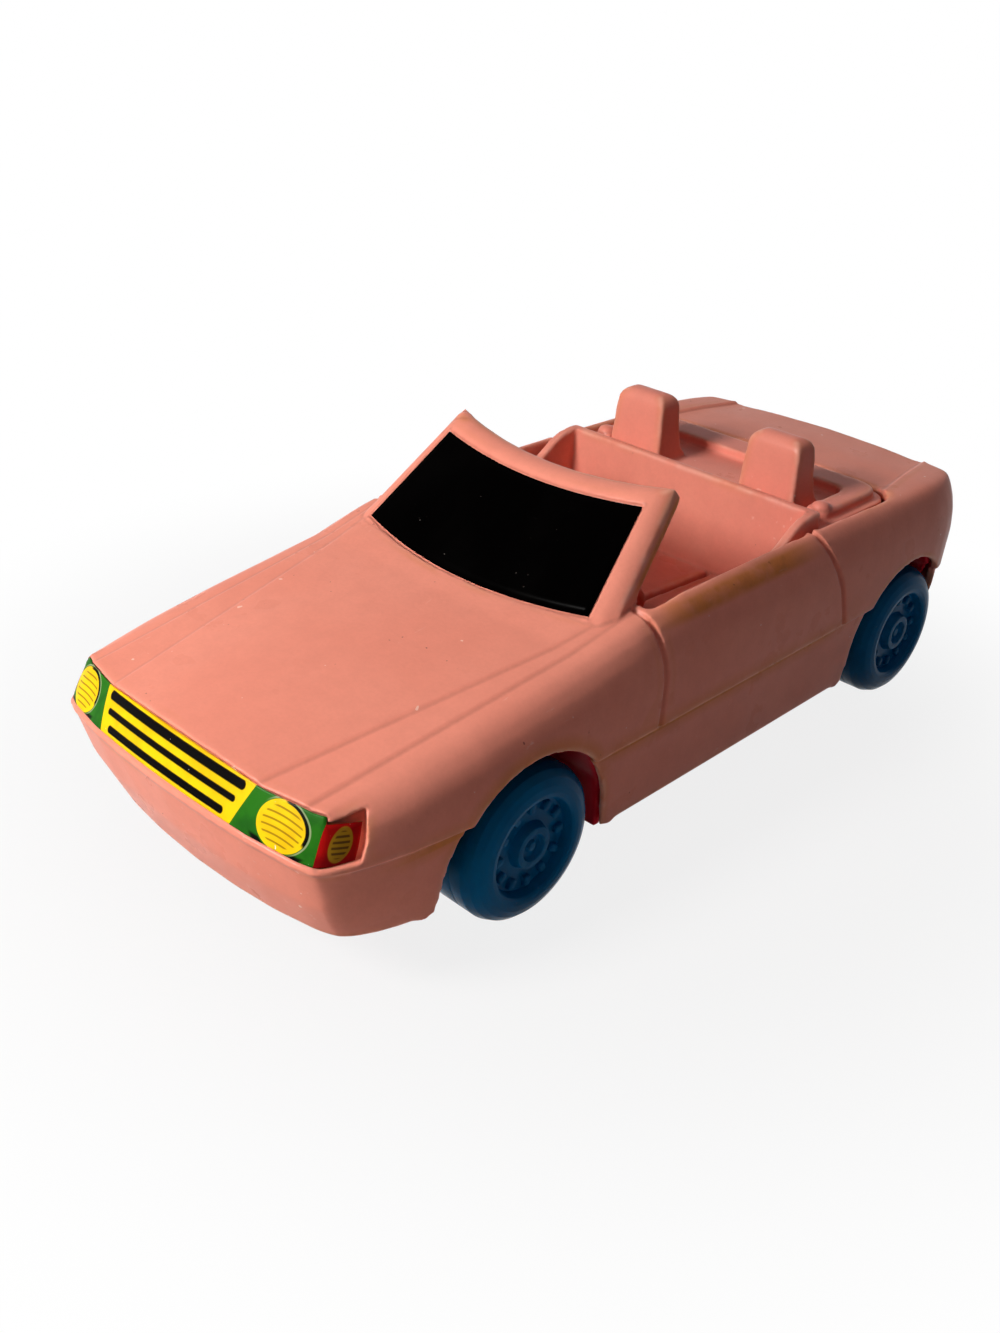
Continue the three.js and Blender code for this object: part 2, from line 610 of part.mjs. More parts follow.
// A sheet on the nose from one depth under the skin to another, with its two returns along the wings.
// The top of each return falls towards its rear end.
function noseSheet(outer, inner, run, spare, cornerSpare, fall) {
  const columns = COLUMNS.map((c) => (Math.abs(c) < 3 ? c : c * (1 + cornerSpare)));
  const low = rowAt(LABEL_LOW - spare);
  const middle = [rowAt(SIDE_SHARE / 2), SIDE_ROW];
  const rows = [low, ...middle, rowAt(MARKER_HIGH), rowAt(LABEL_HIGH + spare)];
  const face = warpedBox(columns, [outer, inner], rows, (c, d, r) => bodyPoint(c, 0, r, d, SILL_Z));
  const runs = [...NOSE_STATIONS.filter((t) => t < run - 0.01), run];
  const sideRows = [low, ...middle, rowAt(MARKER_HIGH + spare)];
  const sunk = (d, t) => (d < 0 ? d : d + (MARKER_SINK * t) / run);
  const fallen = (r, t) => low + (r - low) * (1 - (fall * t) / run);
  const wing = (c, d, t, r) => bodyPoint(c, t, fallen(r, t), sunk(d, t), SILL_Z);
  const left = warpedBox([inner, outer], runs, sideRows, (d, t, r) => wing(3, d, t, r));
  const right = warpedBox([outer, inner], runs, sideRows, (d, t, r) => wing(-3, d, t, r));
  return face.add(left).add(right);
}

const sheetBack = LABEL_RECESS - LABEL_GAP;
const pocketRun = MARKER_RUN + MARKER_SPARE;
const noseRecess = noseSheet(-RECESS_OPEN, LABEL_RECESS, pocketRun, LABEL_SPARE, CORNER_SPARE, 0);
const noseLabel = noseSheet(sheetBack - LABEL, sheetBack, MARKER_RUN, 0, 0, MARKER_FALL);

let bodyShell = bodyOutside
  .subtract(bodyHollow)
  .subtract(frontSeam.intersect(skin))
  .subtract(rearSeam.intersect(skin))
  .subtract(opening)
  .add(screwBoss(FRONT_SCREW_Y))
  .add(screwBoss(REAR_SCREW_Y))
  .subtract(noseRecess)
  .add(screenFrame)
  .subtract(glassPatch(GLASS_SPARE, -RECESS_OPEN, LABEL_RECESS));
for (const y of [FRONT_ARCH_Y, REAR_ARCH_Y]) {
  for (const side of [1, -1]) {
    bodyShell = bodyShell.subtract(archCutter(side, y)).subtract(archRebate(side, y).intersect(archRoom));
  }
}
for (const y of [FRONT_SCREW_Y, REAR_SCREW_Y]) {
  const holeTop = HEAD_SEAT_Z + SCREW_LENGTH + CUT_MARGIN;
  bodyShell = bodyShell.subtract(postZ(SCREW_SHANK + PRESS_GAP, 0, y, 0, holeTop, 12));
}
const screenLabel = glassPatch(0, sheetBack - LABEL, sheetBack);

// Interior tub
function tubSide(x0, x1) {
  const rear = BULKHEAD_Y + BULKHEAD;
  const outline = new THREE.Shape();
  outline.moveTo(TUB_FRONT_Y, TUB_FLOOR_Z);
  outline.lineTo(rear, TUB_FLOOR_Z);
  outline.lineTo(rear, BULKHEAD_TOP_Z);
  outline.lineTo(BULKHEAD_Y, BULKHEAD_TOP_Z);
  const wingEnd = BULKHEAD_Y - WING_RUN;
  const wingBend = BULKHEAD_Y - WING_RUN / 2;
  outline.bezierCurveTo(wingBend, BULKHEAD_TOP_Z, wingBend, TUB_SIDE_TOP_Z, wingEnd, TUB_SIDE_TOP_Z);
  outline.lineTo(OPEN_FRONT_Y + TUB_SLOPE, TUB_SIDE_TOP_Z);
  outline.lineTo(OPEN_FRONT_Y, DASH_TOP_Z);
  outline.lineTo(TUB_FRONT_Y, DASH_TOP_Z);
  return acrossX(outline, x0, x1);
}

function seatPad(x0, x1) {
  const front = BULKHEAD_Y - SEAT_RUN;
  const outline = new THREE.Shape();
  const back = BULKHEAD_Y + BULKHEAD / 2;
  outline.moveTo(front + TUB_WALL, TUB_FLOOR_Z);
  outline.lineTo(back, TUB_FLOOR_Z);
  outline.lineTo(back, SEAT_TOP_Z - SEAT_DIP);
  outline.lineTo(front + SEAT_ROUND, SEAT_TOP_Z);
  outline.quadraticCurveTo(front, SEAT_TOP_Z, front, SEAT_TOP_Z - SEAT_ROUND);
  return acrossX(outline, x0, x1);
}

// A headrest that leans back, with a round top and a foot that flares onto the shelf.
function headrest(x) {
  const foot = HEADREST_Y + HEADREST_FOOT;
  const crown = HEADREST_Y + HEADREST_CROWN;
  const low = DECK_TOP_Z - HEADREST_SEAT;
  const bend = HEADREST_TOP_Z - HEADREST_ROUND;
  const outline = new THREE.Shape();
  outline.moveTo(HEADREST_Y, low);
  outline.lineTo(foot, low);
  outline.lineTo(foot, DECK_TOP_Z + HEADREST_SEAT);
  outline.quadraticCurveTo(crown, DECK_TOP_Z + HEADREST_FLARE, crown, bend);
  outline.quadraticCurveTo(crown, HEADREST_TOP_Z, crown - HEADREST_ROUND, HEADREST_TOP_Z);
  outline.quadraticCurveTo(HEADREST_Y + HEADREST_LEAN, HEADREST_TOP_Z, HEADREST_Y + HEADREST_LEAN, bend);
  const side = acrossX(outline, x - HEADREST_HALF, x + HEADREST_HALF);
  const top = HEADREST_HALF - HEADREST_LEAN;
  const front = new THREE.Shape();
  front.moveTo(x - HEADREST_HALF, low);
  front.lineTo(x + HEADREST_HALF, low);
  front.lineTo(x + top, bend);
  front.quadraticCurveTo(x + top, HEADREST_TOP_Z, x + top - HEADREST_ROUND, HEADREST_TOP_Z);
  front.lineTo(x - top + HEADREST_ROUND, HEADREST_TOP_Z);
  front.quadraticCurveTo(x - top, HEADREST_TOP_Z, x - top, bend);
  const slab = { depth: HEADREST_FOOT, bevelEnabled: false, curveSegments: 5 };
  const upright = new THREE.ExtrudeGeometry(front, slab).rotateX(Math.PI / 2).translate(0, foot, 0);
  return side.intersect(solid(upright));
}

function dash() {
  const back = TUB_FRONT_Y + DASH_RUN;
  const outline = new THREE.Shape();
  outline.moveTo(TUB_FRONT_Y, TUB_FLOOR_Z);
  outline.lineTo(back - DASH_KNEE - TUB_WALL, TUB_FLOOR_Z);
  outline.lineTo(back - DASH_KNEE, lerp(TUB_FLOOR_Z, DASH_TOP_Z, DASH_KNEE_SHARE));
  outline.lineTo(back, DASH_TOP_Z - DASH_ROUND);
  outline.quadraticCurveTo(back, DASH_TOP_Z, back - DASH_ROUND, DASH_TOP_Z);
  outline.lineTo(TUB_FRONT_Y, DASH_TOP_Z);
  return acrossX(outline, -TUB_HALF + TUB_WALL / 2, TUB_HALF - TUB_WALL / 2);
}

// A steering wheel moulded on a short column at the dashboard.
function steeringWheel() {
  const ring = solid(new THREE.TorusGeometry(STEER_RADIUS, STEER_RING, 6, 16));
  const column = postZ(STEER_RING * 1.6, 0, 0, -STEER_OUT * 2, STEER_RING, 10);
  const spoke = block(-STEER_RADIUS, STEER_RADIUS, -STEER_RING, STEER_RING, -STEER_RING / 2, STEER_RING / 2);
  const lean = THREE.MathUtils.radToDeg(STEER_LEAN) - 90;
  const place = [STEER_X, TUB_FRONT_Y + DASH_RUN + STEER_OUT, DASH_TOP_Z];
  return ring.add(column).add(spoke).rotate([lean, 0, 0]).translate(place);
}

// The front end of a rim leg ends in a rounded knob.
function rimKnob(x) {
  const ball = new THREE.SphereGeometry(1, 10, 6).rotateX(Math.PI / 2);
  const knob = ball.scale(KNOB_HALF, KNOB_RUN / 2, KNOB_RISE);
  return solid(knob.translate(x, RIM_FRONT_Y + KNOB_RUN / 2, RIM_TOP_Z));
}

const padOut = TUB_HALF - TUB_WALL - SIDE_GAP;
const seatFront = BULKHEAD_Y - SEAT_RUN;
const rimHalf = TUB_HALF - RIM_MARGIN;
const rimRear = DECK_REAR_Y - RIM_MARGIN;
const tubRear = BULKHEAD_Y + BULKHEAD;
const deckLow = DECK_TOP_Z - DECK;
const tubShell = [
  block(-TUB_HALF, TUB_HALF, TUB_FRONT_Y, tubRear, TUB_FLOOR_Z, TUB_FLOOR_Z + TUB_FLOOR),
  tubSide(-TUB_HALF, -TUB_HALF + TUB_WALL),
  tubSide(TUB_HALF - TUB_WALL, TUB_HALF),
  block(-TUB_HALF, TUB_HALF, BULKHEAD_Y, tubRear, TUB_FLOOR_Z, BULKHEAD_TOP_Z),
  dash(),
  block(-padOut, padOut, seatFront + TUB_WALL, tubRear, TUB_FLOOR_Z, SEAT_TOP_Z - SEAT_GROOVE),
  seatPad(-MIDDLE_PAD_HALF, MIDDLE_PAD_HALF),
  seatPad(MIDDLE_PAD_HALF + SEAT_SPLIT, padOut),
  seatPad(-padOut, -MIDDLE_PAD_HALF - SEAT_SPLIT),
].reduce((whole, piece) => whole.add(piece));

// The bench and the dashboard are open shells from below and from the front.
const underBench = block(
  -padOut + TUB_WALL,
  padOut - TUB_WALL,
  seatFront + 3 * TUB_WALL,
  BULKHEAD_Y,
  TUB_FLOOR_Z - CUT_MARGIN,
  SEAT_TOP_Z - SEAT_GROOVE - TUB_WALL,
);
const behindDash = block(
  -TUB_HALF + 2 * TUB_WALL,
  TUB_HALF - 2 * TUB_WALL,
  TUB_FRONT_Y - CUT_MARGIN,
  TUB_FRONT_Y + DASH_RUN - DASH_SHELL,
  TUB_FLOOR_Z + TUB_FLOOR,
  DASH_TOP_Z - TUB_WALL,
);
const shelfWell = upZ(
  roundedPlan(rimHalf - RIM_SIDE, BULKHEAD_Y, rimRear - RIM_REAR, PLAN_CORNER, OPEN_REAR_CORNER / 2),
  DECK_TOP_Z,
  RIM_TOP_Z + CUT_MARGIN,
);
const rim = upZ(
  roundedPlan(rimHalf, RIM_FRONT_Y, rimRear, RIM_SIDE / 2, OPEN_REAR_CORNER - RIM_MARGIN),
  DECK_TOP_Z - DECK_WALL / 2,
  RIM_TOP_Z,
  RIM_ROUND,
).subtract(shelfWell);
const underDeck = upZ(
  roundedPlan(TUB_HALF - TUB_WALL, tubRear, DECK_REAR_Y - TUB_WALL, PLAN_CORNER, OPEN_REAR_CORNER - TUB_WALL),
  deckLow - CUT_MARGIN,
  DECK_TOP_Z - DECK_WALL,
);
const lipRear = DECK_REAR_Y + LIP_REACH;
const lip = roundedPlan(TUB_HALF + LIP_REACH, BULKHEAD_Y, lipRear, PLAN_CORNER, OPEN_REAR_CORNER);
const deckCorner = OPEN_REAR_CORNER - TUB_GAP;
const deckPlan = roundedPlan(TUB_HALF, BULKHEAD_Y, DECK_REAR_Y, PLAN_CORNER, deckCorner);
const deck = upZ(deckPlan, deckLow, DECK_TOP_Z)
  .add(upZ(lip, deckLow, deckLow + LIP))
  .subtract(underDeck)
  .add(rim)
  .add(rimKnob(rimHalf - RIM_SIDE / 2))
  .add(rimKnob(-rimHalf + RIM_SIDE / 2))
  .add(headrest(HEADREST_X))
  .add(headrest(-HEADREST_X));
const tub = tubShell.add(steeringWheel()).subtract(underBench).subtract(behindDash).add(deck);

// Chassis
function wheelWell(side, archY) {
  const inner = WELL_X - LINER_WALL;
  const outer = HALF;
  const from = side > 0 ? inner : -outer;
  const to = side > 0 ? outer : -inner;
  const hollowFrom = side > 0 ? WELL_X : -outer - CUT_MARGIN;
  const hollowTo = side > 0 ? outer + CUT_MARGIN : -WELL_X;
  const shell = LINER_RADIUS + LINER_WALL;
  const hood = barX(shell, from, to, archY, WHEEL_RADIUS, LINER_SIDES).add(
    block(from, to, archY - shell, archY + shell, PLATE_Z, WHEEL_RADIUS),
  );
  const hollow = barX(LINER_RADIUS, hollowFrom, hollowTo, archY, WHEEL_RADIUS, LINER_SIDES).add(
    block(hollowFrom, hollowTo, archY - LINER_RADIUS, archY + LINER_RADIUS, 0, WHEEL_RADIUS),
  );
  return [hood, hollow];
}

const plateForm = roughForm(WALL + SIDE_GAP, PLATE_Z - HOLLOW_BELOW);
const linerForm = roughForm(ARCH_LIP + SIDE_GAP, PLATE_Z - HOLLOW_BELOW);
let chassis = plateForm.intersect(block(-HALF, HALF, NOSE_Y + PLATE_FRONT, TAIL_Y, PLATE_Z, PLATE_TOP));
const wells = [FRONT_ARCH_Y, REAR_ARCH_Y].flatMap((y) => [wheelWell(1, y), wheelWell(-1, y)]);
const underPlate = block(-HALF, HALF, NOSE_Y, TAIL_Y, 0, PLATE_Z);
for (const [hood] of wells) {
  chassis = chassis.add(hood.intersect(linerForm).subtract(underPlate));
}
for (const [, hollow] of wells) {
  chassis = chassis.subtract(hollow);
}
const bearingTop = WHEEL_RADIUS + AXLE_RADIUS + BEARING_CAP;
for (const y of [FRONT_AXLE_Y, REAR_AXLE_Y]) {
  const reach = WELL_X - LINER_WALL;
  chassis = chassis.subtract(
    block(-reach, reach, y - CHANNEL_HALF, y + CHANNEL_HALF, 0, PLATE_TOP + CUT_MARGIN),
  );
  for (const x of [BEARING_OUT - BEARING_LENGTH, -BEARING_OUT]) {
    chassis = chassis.add(
      block(x, x + BEARING_LENGTH, y - BEARING_HALF, y + BEARING_HALF, PLATE_Z, bearingTop),
    );
  }
  chassis = chassis
    .subtract(barX(AXLE_RADIUS + RUNNING_GAP, -HALF, HALF, y, WHEEL_RADIUS, AXLE_SIDES))
    .subtract(block(-HALF, HALF, y - THROAT_HALF, y + THROAT_HALF, 0, WHEEL_RADIUS));
}
for (const y of [FRONT_SCREW_Y, REAR_SCREW_Y]) {
  chassis = chassis
    .add(postZ(PAD_RADIUS, 0, y, PLATE_Z, PAD_TOP, 24))
    .subtract(postZ(SCREW_HEAD + SEAT_GAP, 0, y, 0, HEAD_SEAT_Z, 24))
    .subtract(postZ(SCREW_SHANK + SEAT_GAP, 0, y, 0, PAD_TOP + CUT_MARGIN, 12));
}

// Wheels: one moulding each, with a round-shouldered tread, a rim ring, a dish with a ring of pads,
// and a hub.
const TREAD_ROUND = 2.1;
const RIM_RADIUS = WHEEL_RADIUS - TREAD_ROUND;
const RIM_WIDTH = 1.5;
const DISH_RADIUS = RIM_RADIUS - RIM_WIDTH;
const DISH_DEPTH = 1.6;
const HUB_SINK = 0.3;
const HUB_RADIUS = AXLE_RADIUS * 2;
const HUB_STANDOFF = WELL_GAP - SEAT_GAP;
const WEB = 2.4;
const TREAD_WALL = 1.9;
const WHEEL_SIDES = 20;
const PADS = 12;
const PAD_SIZE = 1.2;

function wheel() {
  const face = WHEEL_WIDTH;
  const floor = face - DISH_DEPTH;
  const bore = AXLE_RADIUS + PRESS_GAP;
  const boreEnd = AXLE_END_X - WHEEL_BACK_X + SEAT_GAP;
  const profile = [
    [0, boreEnd],
    [bore, boreEnd],
    [bore, -HUB_STANDOFF],
    [HUB_RADIUS, -HUB_STANDOFF],
    [HUB_RADIUS, floor - WEB],
    [WHEEL_RADIUS - TREAD_WALL, floor - WEB],
    [WHEEL_RADIUS - TREAD_WALL, 0],
    [WHEEL_RADIUS - TREAD_ROUND / 3, 0],
    [WHEEL_RADIUS, TREAD_ROUND / 3],
    [WHEEL_RADIUS, face - TREAD_ROUND * 1.2],
    [WHEEL_RADIUS - TREAD_ROUND * 0.17, face - TREAD_ROUND * 0.57],
    [WHEEL_RADIUS - TREAD_ROUND * 0.52, face - TREAD_ROUND * 0.17],
    [RIM_RADIUS, face],
    [DISH_RADIUS + RIM_WIDTH / 3, face - HUB_SINK / 3],
    [DISH_RADIUS, floor],
    [HUB_RADIUS, floor],
    [HUB_RADIUS * 0.87, face - HUB_SINK],
    [HUB_RADIUS * 0.6, face - HUB_SINK],
    [HUB_RADIUS * 0.5, face - 3 * HUB_SINK],
    [0, face - 3 * HUB_SINK],
  ];
  const points = profile.map(([r, x]) => new THREE.Vector2(r, x));
  let whole = solid(new THREE.LatheGeometry(points, WHEEL_SIDES));
  for (let i = 0; i < PADS; i += 1) {
    const pad = new THREE.BoxGeometry(PAD_SIZE, DISH_DEPTH, PAD_SIZE);
    pad.translate(DISH_RADIUS - PAD_SIZE, floor, 0).rotateY((i * 2 * Math.PI) / PADS);
    whole = whole.add(solid(pad));
  }
  return whole;
}

const wheelSolid = wheel();

// The lathe's axis turns from Y to X, and the right-hand wheels face the other way.
function wheelAt(side, y) {
  const turned = side > 0 ? wheelSolid.rotate([0, 0, -90]) : wheelSolid.rotate([0, 0, 90]);
  return turned.translate([side * WHEEL_BACK_X, y, WHEEL_RADIUS]);
}

function axleAt(y) {
  return barX(AXLE_RADIUS, -AXLE_END_X, AXLE_END_X, y, WHEEL_RADIUS, AXLE_SIDES);
}

// A round-headed screw with a cross slot, seated from below.
function screwAt(y) {
  const head = HEAD_SEAT_Z - SEAT_GAP / 3;
  const shank = postZ(SCREW_SHANK, 0, y, head, head + SCREW_LENGTH, 12);
  const cap = postZ(SCREW_HEAD, 0, y, head - SCREW_HEAD_HEIGHT, head, 24);
  const long = SCREW_SLOT_LENGTH / 2;
  const wide = SCREW_SLOT / 2;
  const slotTop = head - SCREW_HEAD_HEIGHT + SCREW_SLOT_DEPTH;
  return shank
    .add(cap)
    .subtract(block(-long, long, y - wide, y + wide, 0, slotTop))
    .subtract(block(-wide, wide, y - long, y + long, 0, slotTop));
}

const car = new THREE.Group();
car.name = "toy_convertible";

function piece(name, made, colour, roughness, metalness) {
  const mesh = made.getMesh();
  const geometry = new THREE.BufferGeometry();
  geometry.setAttribute("position", new THREE.BufferAttribute(new Float32Array(mesh.vertProperties), 3));
  geometry.setIndex(new THREE.BufferAttribute(new Uint32Array(mesh.triVerts), 1));
  geometry.computeVertexNormals();
  const material = new THREE.MeshStandardMaterial({ color: colour, roughness, metalness });
  const node = new THREE.Mesh(geometry, material);
  node.name = name;
  car.add(node);
}

piece("body_shell", bodyShell, 0xee9585, 0.38, 0);
piece("interior_tub", tub, 0xec8f84, 0.42, 0);
piece("chassis_base", chassis, 0xa3121c, 0.45, 0);
piece("windscreen_label", screenLabel, 0x0a0a0a, 0.25, 0);
piece("nose_label", noseLabel, 0xe9c916, 0.35, 0);
for (const [end, y] of [["front", FRONT_AXLE_Y], ["rear", REAR_AXLE_Y]]) {
  piece(`axle_${end}`, axleAt(y), 0xb9bdc2, 0.3, 1);
  piece(`wheel_${end}_left`, wheelAt(1, y), 0x0f5f9c, 0.35, 0);
  piece(`wheel_${end}_right`, wheelAt(-1, y), 0x0f5f9c, 0.35, 0);
}
piece("screw_front", screwAt(FRONT_SCREW_Y), 0xa9adb2, 0.35, 1);
piece("screw_rear", screwAt(REAR_SCREW_Y), 0xa9adb2, 0.35, 1);

export default car;
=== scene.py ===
import math

import bmesh
import bpy
from mathutils import Matrix, Vector, kdtree

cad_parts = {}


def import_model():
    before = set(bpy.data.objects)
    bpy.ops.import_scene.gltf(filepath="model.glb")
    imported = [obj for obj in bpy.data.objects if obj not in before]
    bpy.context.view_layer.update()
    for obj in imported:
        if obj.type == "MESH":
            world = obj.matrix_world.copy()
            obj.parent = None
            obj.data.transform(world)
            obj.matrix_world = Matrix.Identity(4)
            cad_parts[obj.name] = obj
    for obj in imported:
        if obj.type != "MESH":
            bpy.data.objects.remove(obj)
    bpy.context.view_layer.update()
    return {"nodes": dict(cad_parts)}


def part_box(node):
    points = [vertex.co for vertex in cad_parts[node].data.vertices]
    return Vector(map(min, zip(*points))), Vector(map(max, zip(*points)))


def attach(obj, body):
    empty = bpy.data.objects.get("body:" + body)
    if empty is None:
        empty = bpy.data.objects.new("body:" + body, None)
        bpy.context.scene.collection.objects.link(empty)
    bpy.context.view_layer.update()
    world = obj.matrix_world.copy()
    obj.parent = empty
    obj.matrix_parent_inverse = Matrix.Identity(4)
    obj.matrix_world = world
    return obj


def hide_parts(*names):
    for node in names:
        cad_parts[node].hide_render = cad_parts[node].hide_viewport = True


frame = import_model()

MM = 0.001

# Softening of the mouldings: grids, the edges that count, and how far their rounding reaches
WELD = 0.001 * MM
BODY_VOXEL = 0.2 * MM
TUB_VOXEL = 0.24 * MM
BASE_VOXEL = 0.35 * MM
MOST_TRIANGLES = 190000
SHARP = math.radians(42)
FAINT = math.radians(14)
PANEL_HALF = 21.6 * MM
EDGE_STEP = 0.35 * MM
KEEP_NEAR_EDGE = 1.3 * MM
FARTHEST = 8.0
NOWHERE = Vector((9, 9, 9))
INNER_KEPT = 0.7 * MM
ROUND_RISE = 1.5 * MM
SMOOTHING = 0.5
SMALL_ROUND = 6

# Photo camera: turn, tilt and roll in degrees, aimed at a point on the floor under the cockpit
CAMERA_TURN = 42.44
CAMERA_TILT = 29.15
CAMERA_ROLL = 3.41
CAMERA_AWAY = 203.82 * MM
CAMERA_RIGHT = -13.33 * MM
CAMERA_UP = 7.18 * MM
CAMERA_AIM = Vector((0, 8.5 * MM, 0))
PHOTO_HEIGHT = 1333
FOCAL_PIXELS = 1401.59
SENSOR = 36


class Wire:
    """A number on its way from one node of a finish to the next."""

    def __init__(self, finish, socket):
        self.finish = finish
        self.socket = socket

    def __add__(self, other):
        return self.finish.sum("ADD", self, other)

    def __sub__(self, other):
        return self.finish.sum("SUBTRACT", self, other)

    def __mul__(self, other):
        return self.finish.sum("MULTIPLY", self, other)

    def __truediv__(self, other):
        return self.finish.sum("DIVIDE", self, other)

    def size(self):
        return self.finish.sum("ABSOLUTE", self)

    def sign(self):
        return self.finish.sum("SIGN", self)

    def part(self):
        return self.finish.sum("FRACT", self)

    def at_least(self, other):
        return self.finish.sum("MAXIMUM", self, other)

    def distance(self, other):
        return self.finish.sum("SQRT", self * self + other * other)

    def rise(self, low, high):
        """0 below low, 1 above high, smooth between."""
        return self.finish.window(self, low, high, 0, 1)

    def fall(self, low, high):
        """1 below low, 0 above high, smooth between."""
        return self.finish.window(self, low, high, 1, 0)


class Finish:
    """A material, built up node by node on the piece's own coordinates."""

    def __init__(self, name, **constants):
        self.material = bpy.data.materials.new(name)
        self.material.use_nodes = True
        self.tree = self.material.node_tree
        self.shader = self.tree.nodes["Principled BSDF"]
        for socket, value in constants.items():
            self.shader.inputs[socket.replace("_", " ")].default_value = value
        place = self.tree.nodes.new("ShaderNodeTexCoord")
        self.place = place.outputs["Object"]

    def feed(self, socket, value):
        if isinstance(value, Wire):
            value = value.socket
        if isinstance(value, bpy.types.NodeSocket):
            self.tree.links.new(value, socket)
        else:
            socket.default_value = value

    def sum(self, operation, *values):
        node = self.tree.nodes.new("ShaderNodeMath")
        node.operation = operation
        for socket, value in zip(node.inputs, values):
            self.feed(socket, value)
        return Wire(self, node.outputs[0])

    def window(self, value, low, high, at_low, at_high):
        node = self.tree.nodes.new("ShaderNodeMapRange")
        node.interpolation_type = "SMOOTHSTEP"
        self.feed(node.inputs["Value"], value)
        for name, number in zip(("From Min", "From Max", "To Min", "To Max"), (low, high, at_low, at_high)):
            self.feed(node.inputs[name], number)
        return Wire(self, node.outputs[0])

    def millimetres(self):
        """The piece's coordinates in millimetres, as three numbers."""
        scaled = self.tree.nodes.new("ShaderNodeMapping")
        scaled.inputs["Scale"].default_value = (1 / MM, 1 / MM, 1 / MM)
        self.feed(scaled.inputs["Vector"], self.place)
        split = self.tree.nodes.new("ShaderNodeSeparateXYZ")
        self.feed(split.inputs[0], scaled.outputs[0])
        return [Wire(self, socket) for socket in split.outputs]

    def noise(self, grain, detail=2.0, stretch=(1, 1, 1)):
        """Cloudy variation with blotches about one grain wide."""
        mapping = self.tree.nodes.new("ShaderNodeMapping")
        mapping.inputs["Scale"].default_value = stretch
        self.feed(mapping.inputs["Vector"], self.place)
        node = self.tree.nodes.new("ShaderNodeTexNoise")
        self.feed(node.inputs["Vector"], mapping.outputs[0])
        node.inputs["Scale"].default_value = 1 / grain
        node.inputs["Detail"].default_value = detail
        return Wire(self, node.outputs[0])

    def reading(self, name):
        """A value stored on the mesh's points."""
        node = self.tree.nodes.new("ShaderNodeAttribute")
        node.attribute_name = name
        return Wire(self, node.outputs["Fac"])

    def blend(self, amount, under, over):
        node = self.tree.nodes.new("ShaderNodeMix")
        node.data_type = "RGBA"
        self.feed(node.inputs[0], amount)
        for socket, colour in ((node.inputs[6], under), (node.inputs[7], over)):
            self.feed(socket, colour if isinstance(colour, bpy.types.NodeSocket) else (*colour, 1))
        return node.outputs[2]

    def bump(self, height, depth):
        node = self.tree.nodes.new("ShaderNodeBump")
        node.inputs["Distance"].default_value = depth
        self.feed(node.inputs["Height"], height)
        self.feed(self.shader.inputs["Normal"], node.outputs[0])

    def colour(self, value):
        self.feed(self.shader.inputs["Base Color"], value)

    def roughness(self, value):
        self.feed(self.shader.inputs["Roughness"], value)


# Old pink plastic: the front arch's centre and the windscreen's foot and slope, in millimetres
FRONT_ARCH_Y = -32.8
ARCH_Z = 10.0
SCREEN_FOOT_Y = -20.4
SCREEN_FOOT_Z = 30.0
SCREEN_COS = 0.657
SCREEN_SIN = 0.754
OCHRE = (0.66, 0.215, 0.05)
DARK_BROWN = (0.21, 0.05, 0.035)
PALE_PINK = (0.95, 0.62, 0.5)


def old_stains(pink):
    """Where the near side has yellowed: along the door top, in a band at the crease, over the front wheel
    and down the rear edge of the windscreen frame."""
    x, y, z = pink.millimetres()
    outside = x.rise(21.6, 23.2)
    doors = z.rise(30.2, 31.2) * z.fall(32.4, 33.2) * y.rise(-16, -4) * y.fall(13, 24)
    along = y.rise(-56, -46) * y.fall(24, 34)
    core = z.rise(16.8, 17.6) * z.fall(18.3, 19.1)
    halo = z.rise(15.6, 17.5) * z.fall(18.3, 21.0)
    crease = core.at_least(halo * 0.5) * along
    from_wheel = (y - FRONT_ARCH_Y).distance(z - ARCH_Z)
    arch = from_wheel.rise(11.6, 12.6) * from_wheel.fall(13.2, 15.4) * z.rise(13, 18)
    behind_screen = (y - SCREEN_FOOT_Y) * SCREEN_COS - (z - SCREEN_FOOT_Z) * SCREEN_SIN
    frame_side = x.rise(15.5, 17) * z.rise(33, 35) * z.fall(42, 43.5) * y.fall(8, 11)
    pillar = behind_screen.rise(1.6, 2.7) * frame_side
    return (outside * doors.at_least(crease.at_least(arch * 0.7))).at_least(pillar)


